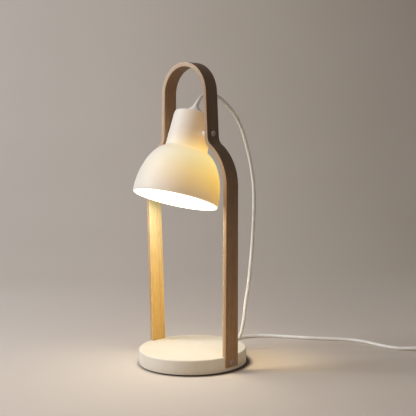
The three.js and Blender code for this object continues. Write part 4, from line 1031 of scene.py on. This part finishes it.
def only_on(light, *things):
    """Light that only these things take, and that the camera doesn't see."""
    group = bpy.data.collections.new(f"lit_by_{light.name}")
    bpy.context.scene.collection.children.link(group)
    for thing in things:
        group.objects.link(thing)
    light.light_linking.receiver_collection = group
    light.visible_camera = False


LAMP_LOW, FOOT_OF_LAMP = (0, 0, 0.2), (0, 0, 0)
lamp("AREA", "key", LEFT * 3.5 + FRONT * 0.3 + Vector((0, 0, 1.7)), 76, (0.83, 0.92, 1.0), LAMP_LOW, size=1.3)
lamp("AREA", "fill", LEFT * 1.2 + FRONT * 1.9 + Vector((0, 0, 1.3)), 14, (1.0, 0.74, 0.5), LAMP_LOW, size=1.6)
lamp("AREA", "top", LEFT * 1.3 + Vector((0, 0, 1.9)), 10.8, (1.0, 0.98, 0.96), FOOT_OF_LAMP, size=0.7)

# The bulb's light leaves the shade by its mouth
mouth_centre, below_it = (SHADE_M @ Vector((0, 0, z)) * MM for z in (1 - DOME_D, -2 * DOME_D))
bulb = lamp("AREA", "bulb_light", mouth_centre, 0.30, (1.0, 0.94, 0.72), below_it, shape="DISK", size=0.128)
bulb.visible_camera = False
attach(bulb, "shade")

# What the shade and the lit table throw on the strip and the base
for label, s in SIDES:
    low = lamp("AREA", f"glow_on_leg_{label}", (-s * 0.062, 0, 0.092), 0.42, (1.0, 0.94, 0.25),
               (s * 0.1, 0, 0.092), shape="RECTANGLE", size=0.05, size_y=0.22)
    only_on(low, strip)
    high = lamp("AREA", f"glow_below_mouth_{label}", (-s * 0.005, 0, 0.23), 0.13, (0.45, 0.95, 1.0),
                (s * 0.1, 0, 0.23), shape="DISK", size=0.03)
    only_on(high, strip)
bounce = lamp("AREA", "glow_off_the_table", (0.26, 0.02, 0.002), 0.088, (1.0, 0.68, 0.32), (0.09, 0, 0.06),
              shape="DISK", size=0.2)
only_on(bounce, strip, base)

# A second part of the bulb's light falls on the table beside the base
spill = lamp("SPOT", "bulb_light_on_table", (0.02, -0.02, 0.262), 1.2, (1.0, 0.68, 0.2),
             SIDE * 0.112 + FRONT * 0.012, spot_size=0.85, spot_blend=1.0, shadow_soft_size=0.03)
only_on(spill, studio)
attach(spill, "shade")

# The world is even, and shows the backdrop's tone where the floor ends
world = bpy.data.worlds.new("world")
bpy.context.scene.world = world
world.use_nodes = True
tree = world.node_tree
sky = tree.nodes["Background"]
sky.inputs["Color"].default_value = (0.97, 0.98, 1.0, 1)
sky.inputs["Strength"].default_value = 0.15
shown = tree.nodes.new("ShaderNodeBackground")
shown.inputs["Color"].default_value = (*WORLD_TONE, 1)
pick = tree.nodes.new("ShaderNodeMixShader")
tree.links.new(background_rays(tree), pick.inputs[0])
tree.links.new(sky.outputs[0], pick.inputs[1])
tree.links.new(shown.outputs[0], pick.inputs[2])
tree.links.new(pick.outputs[0], tree.nodes["World Output"].inputs[0])
bpy.context.scene.view_settings.view_transform = "Standard"
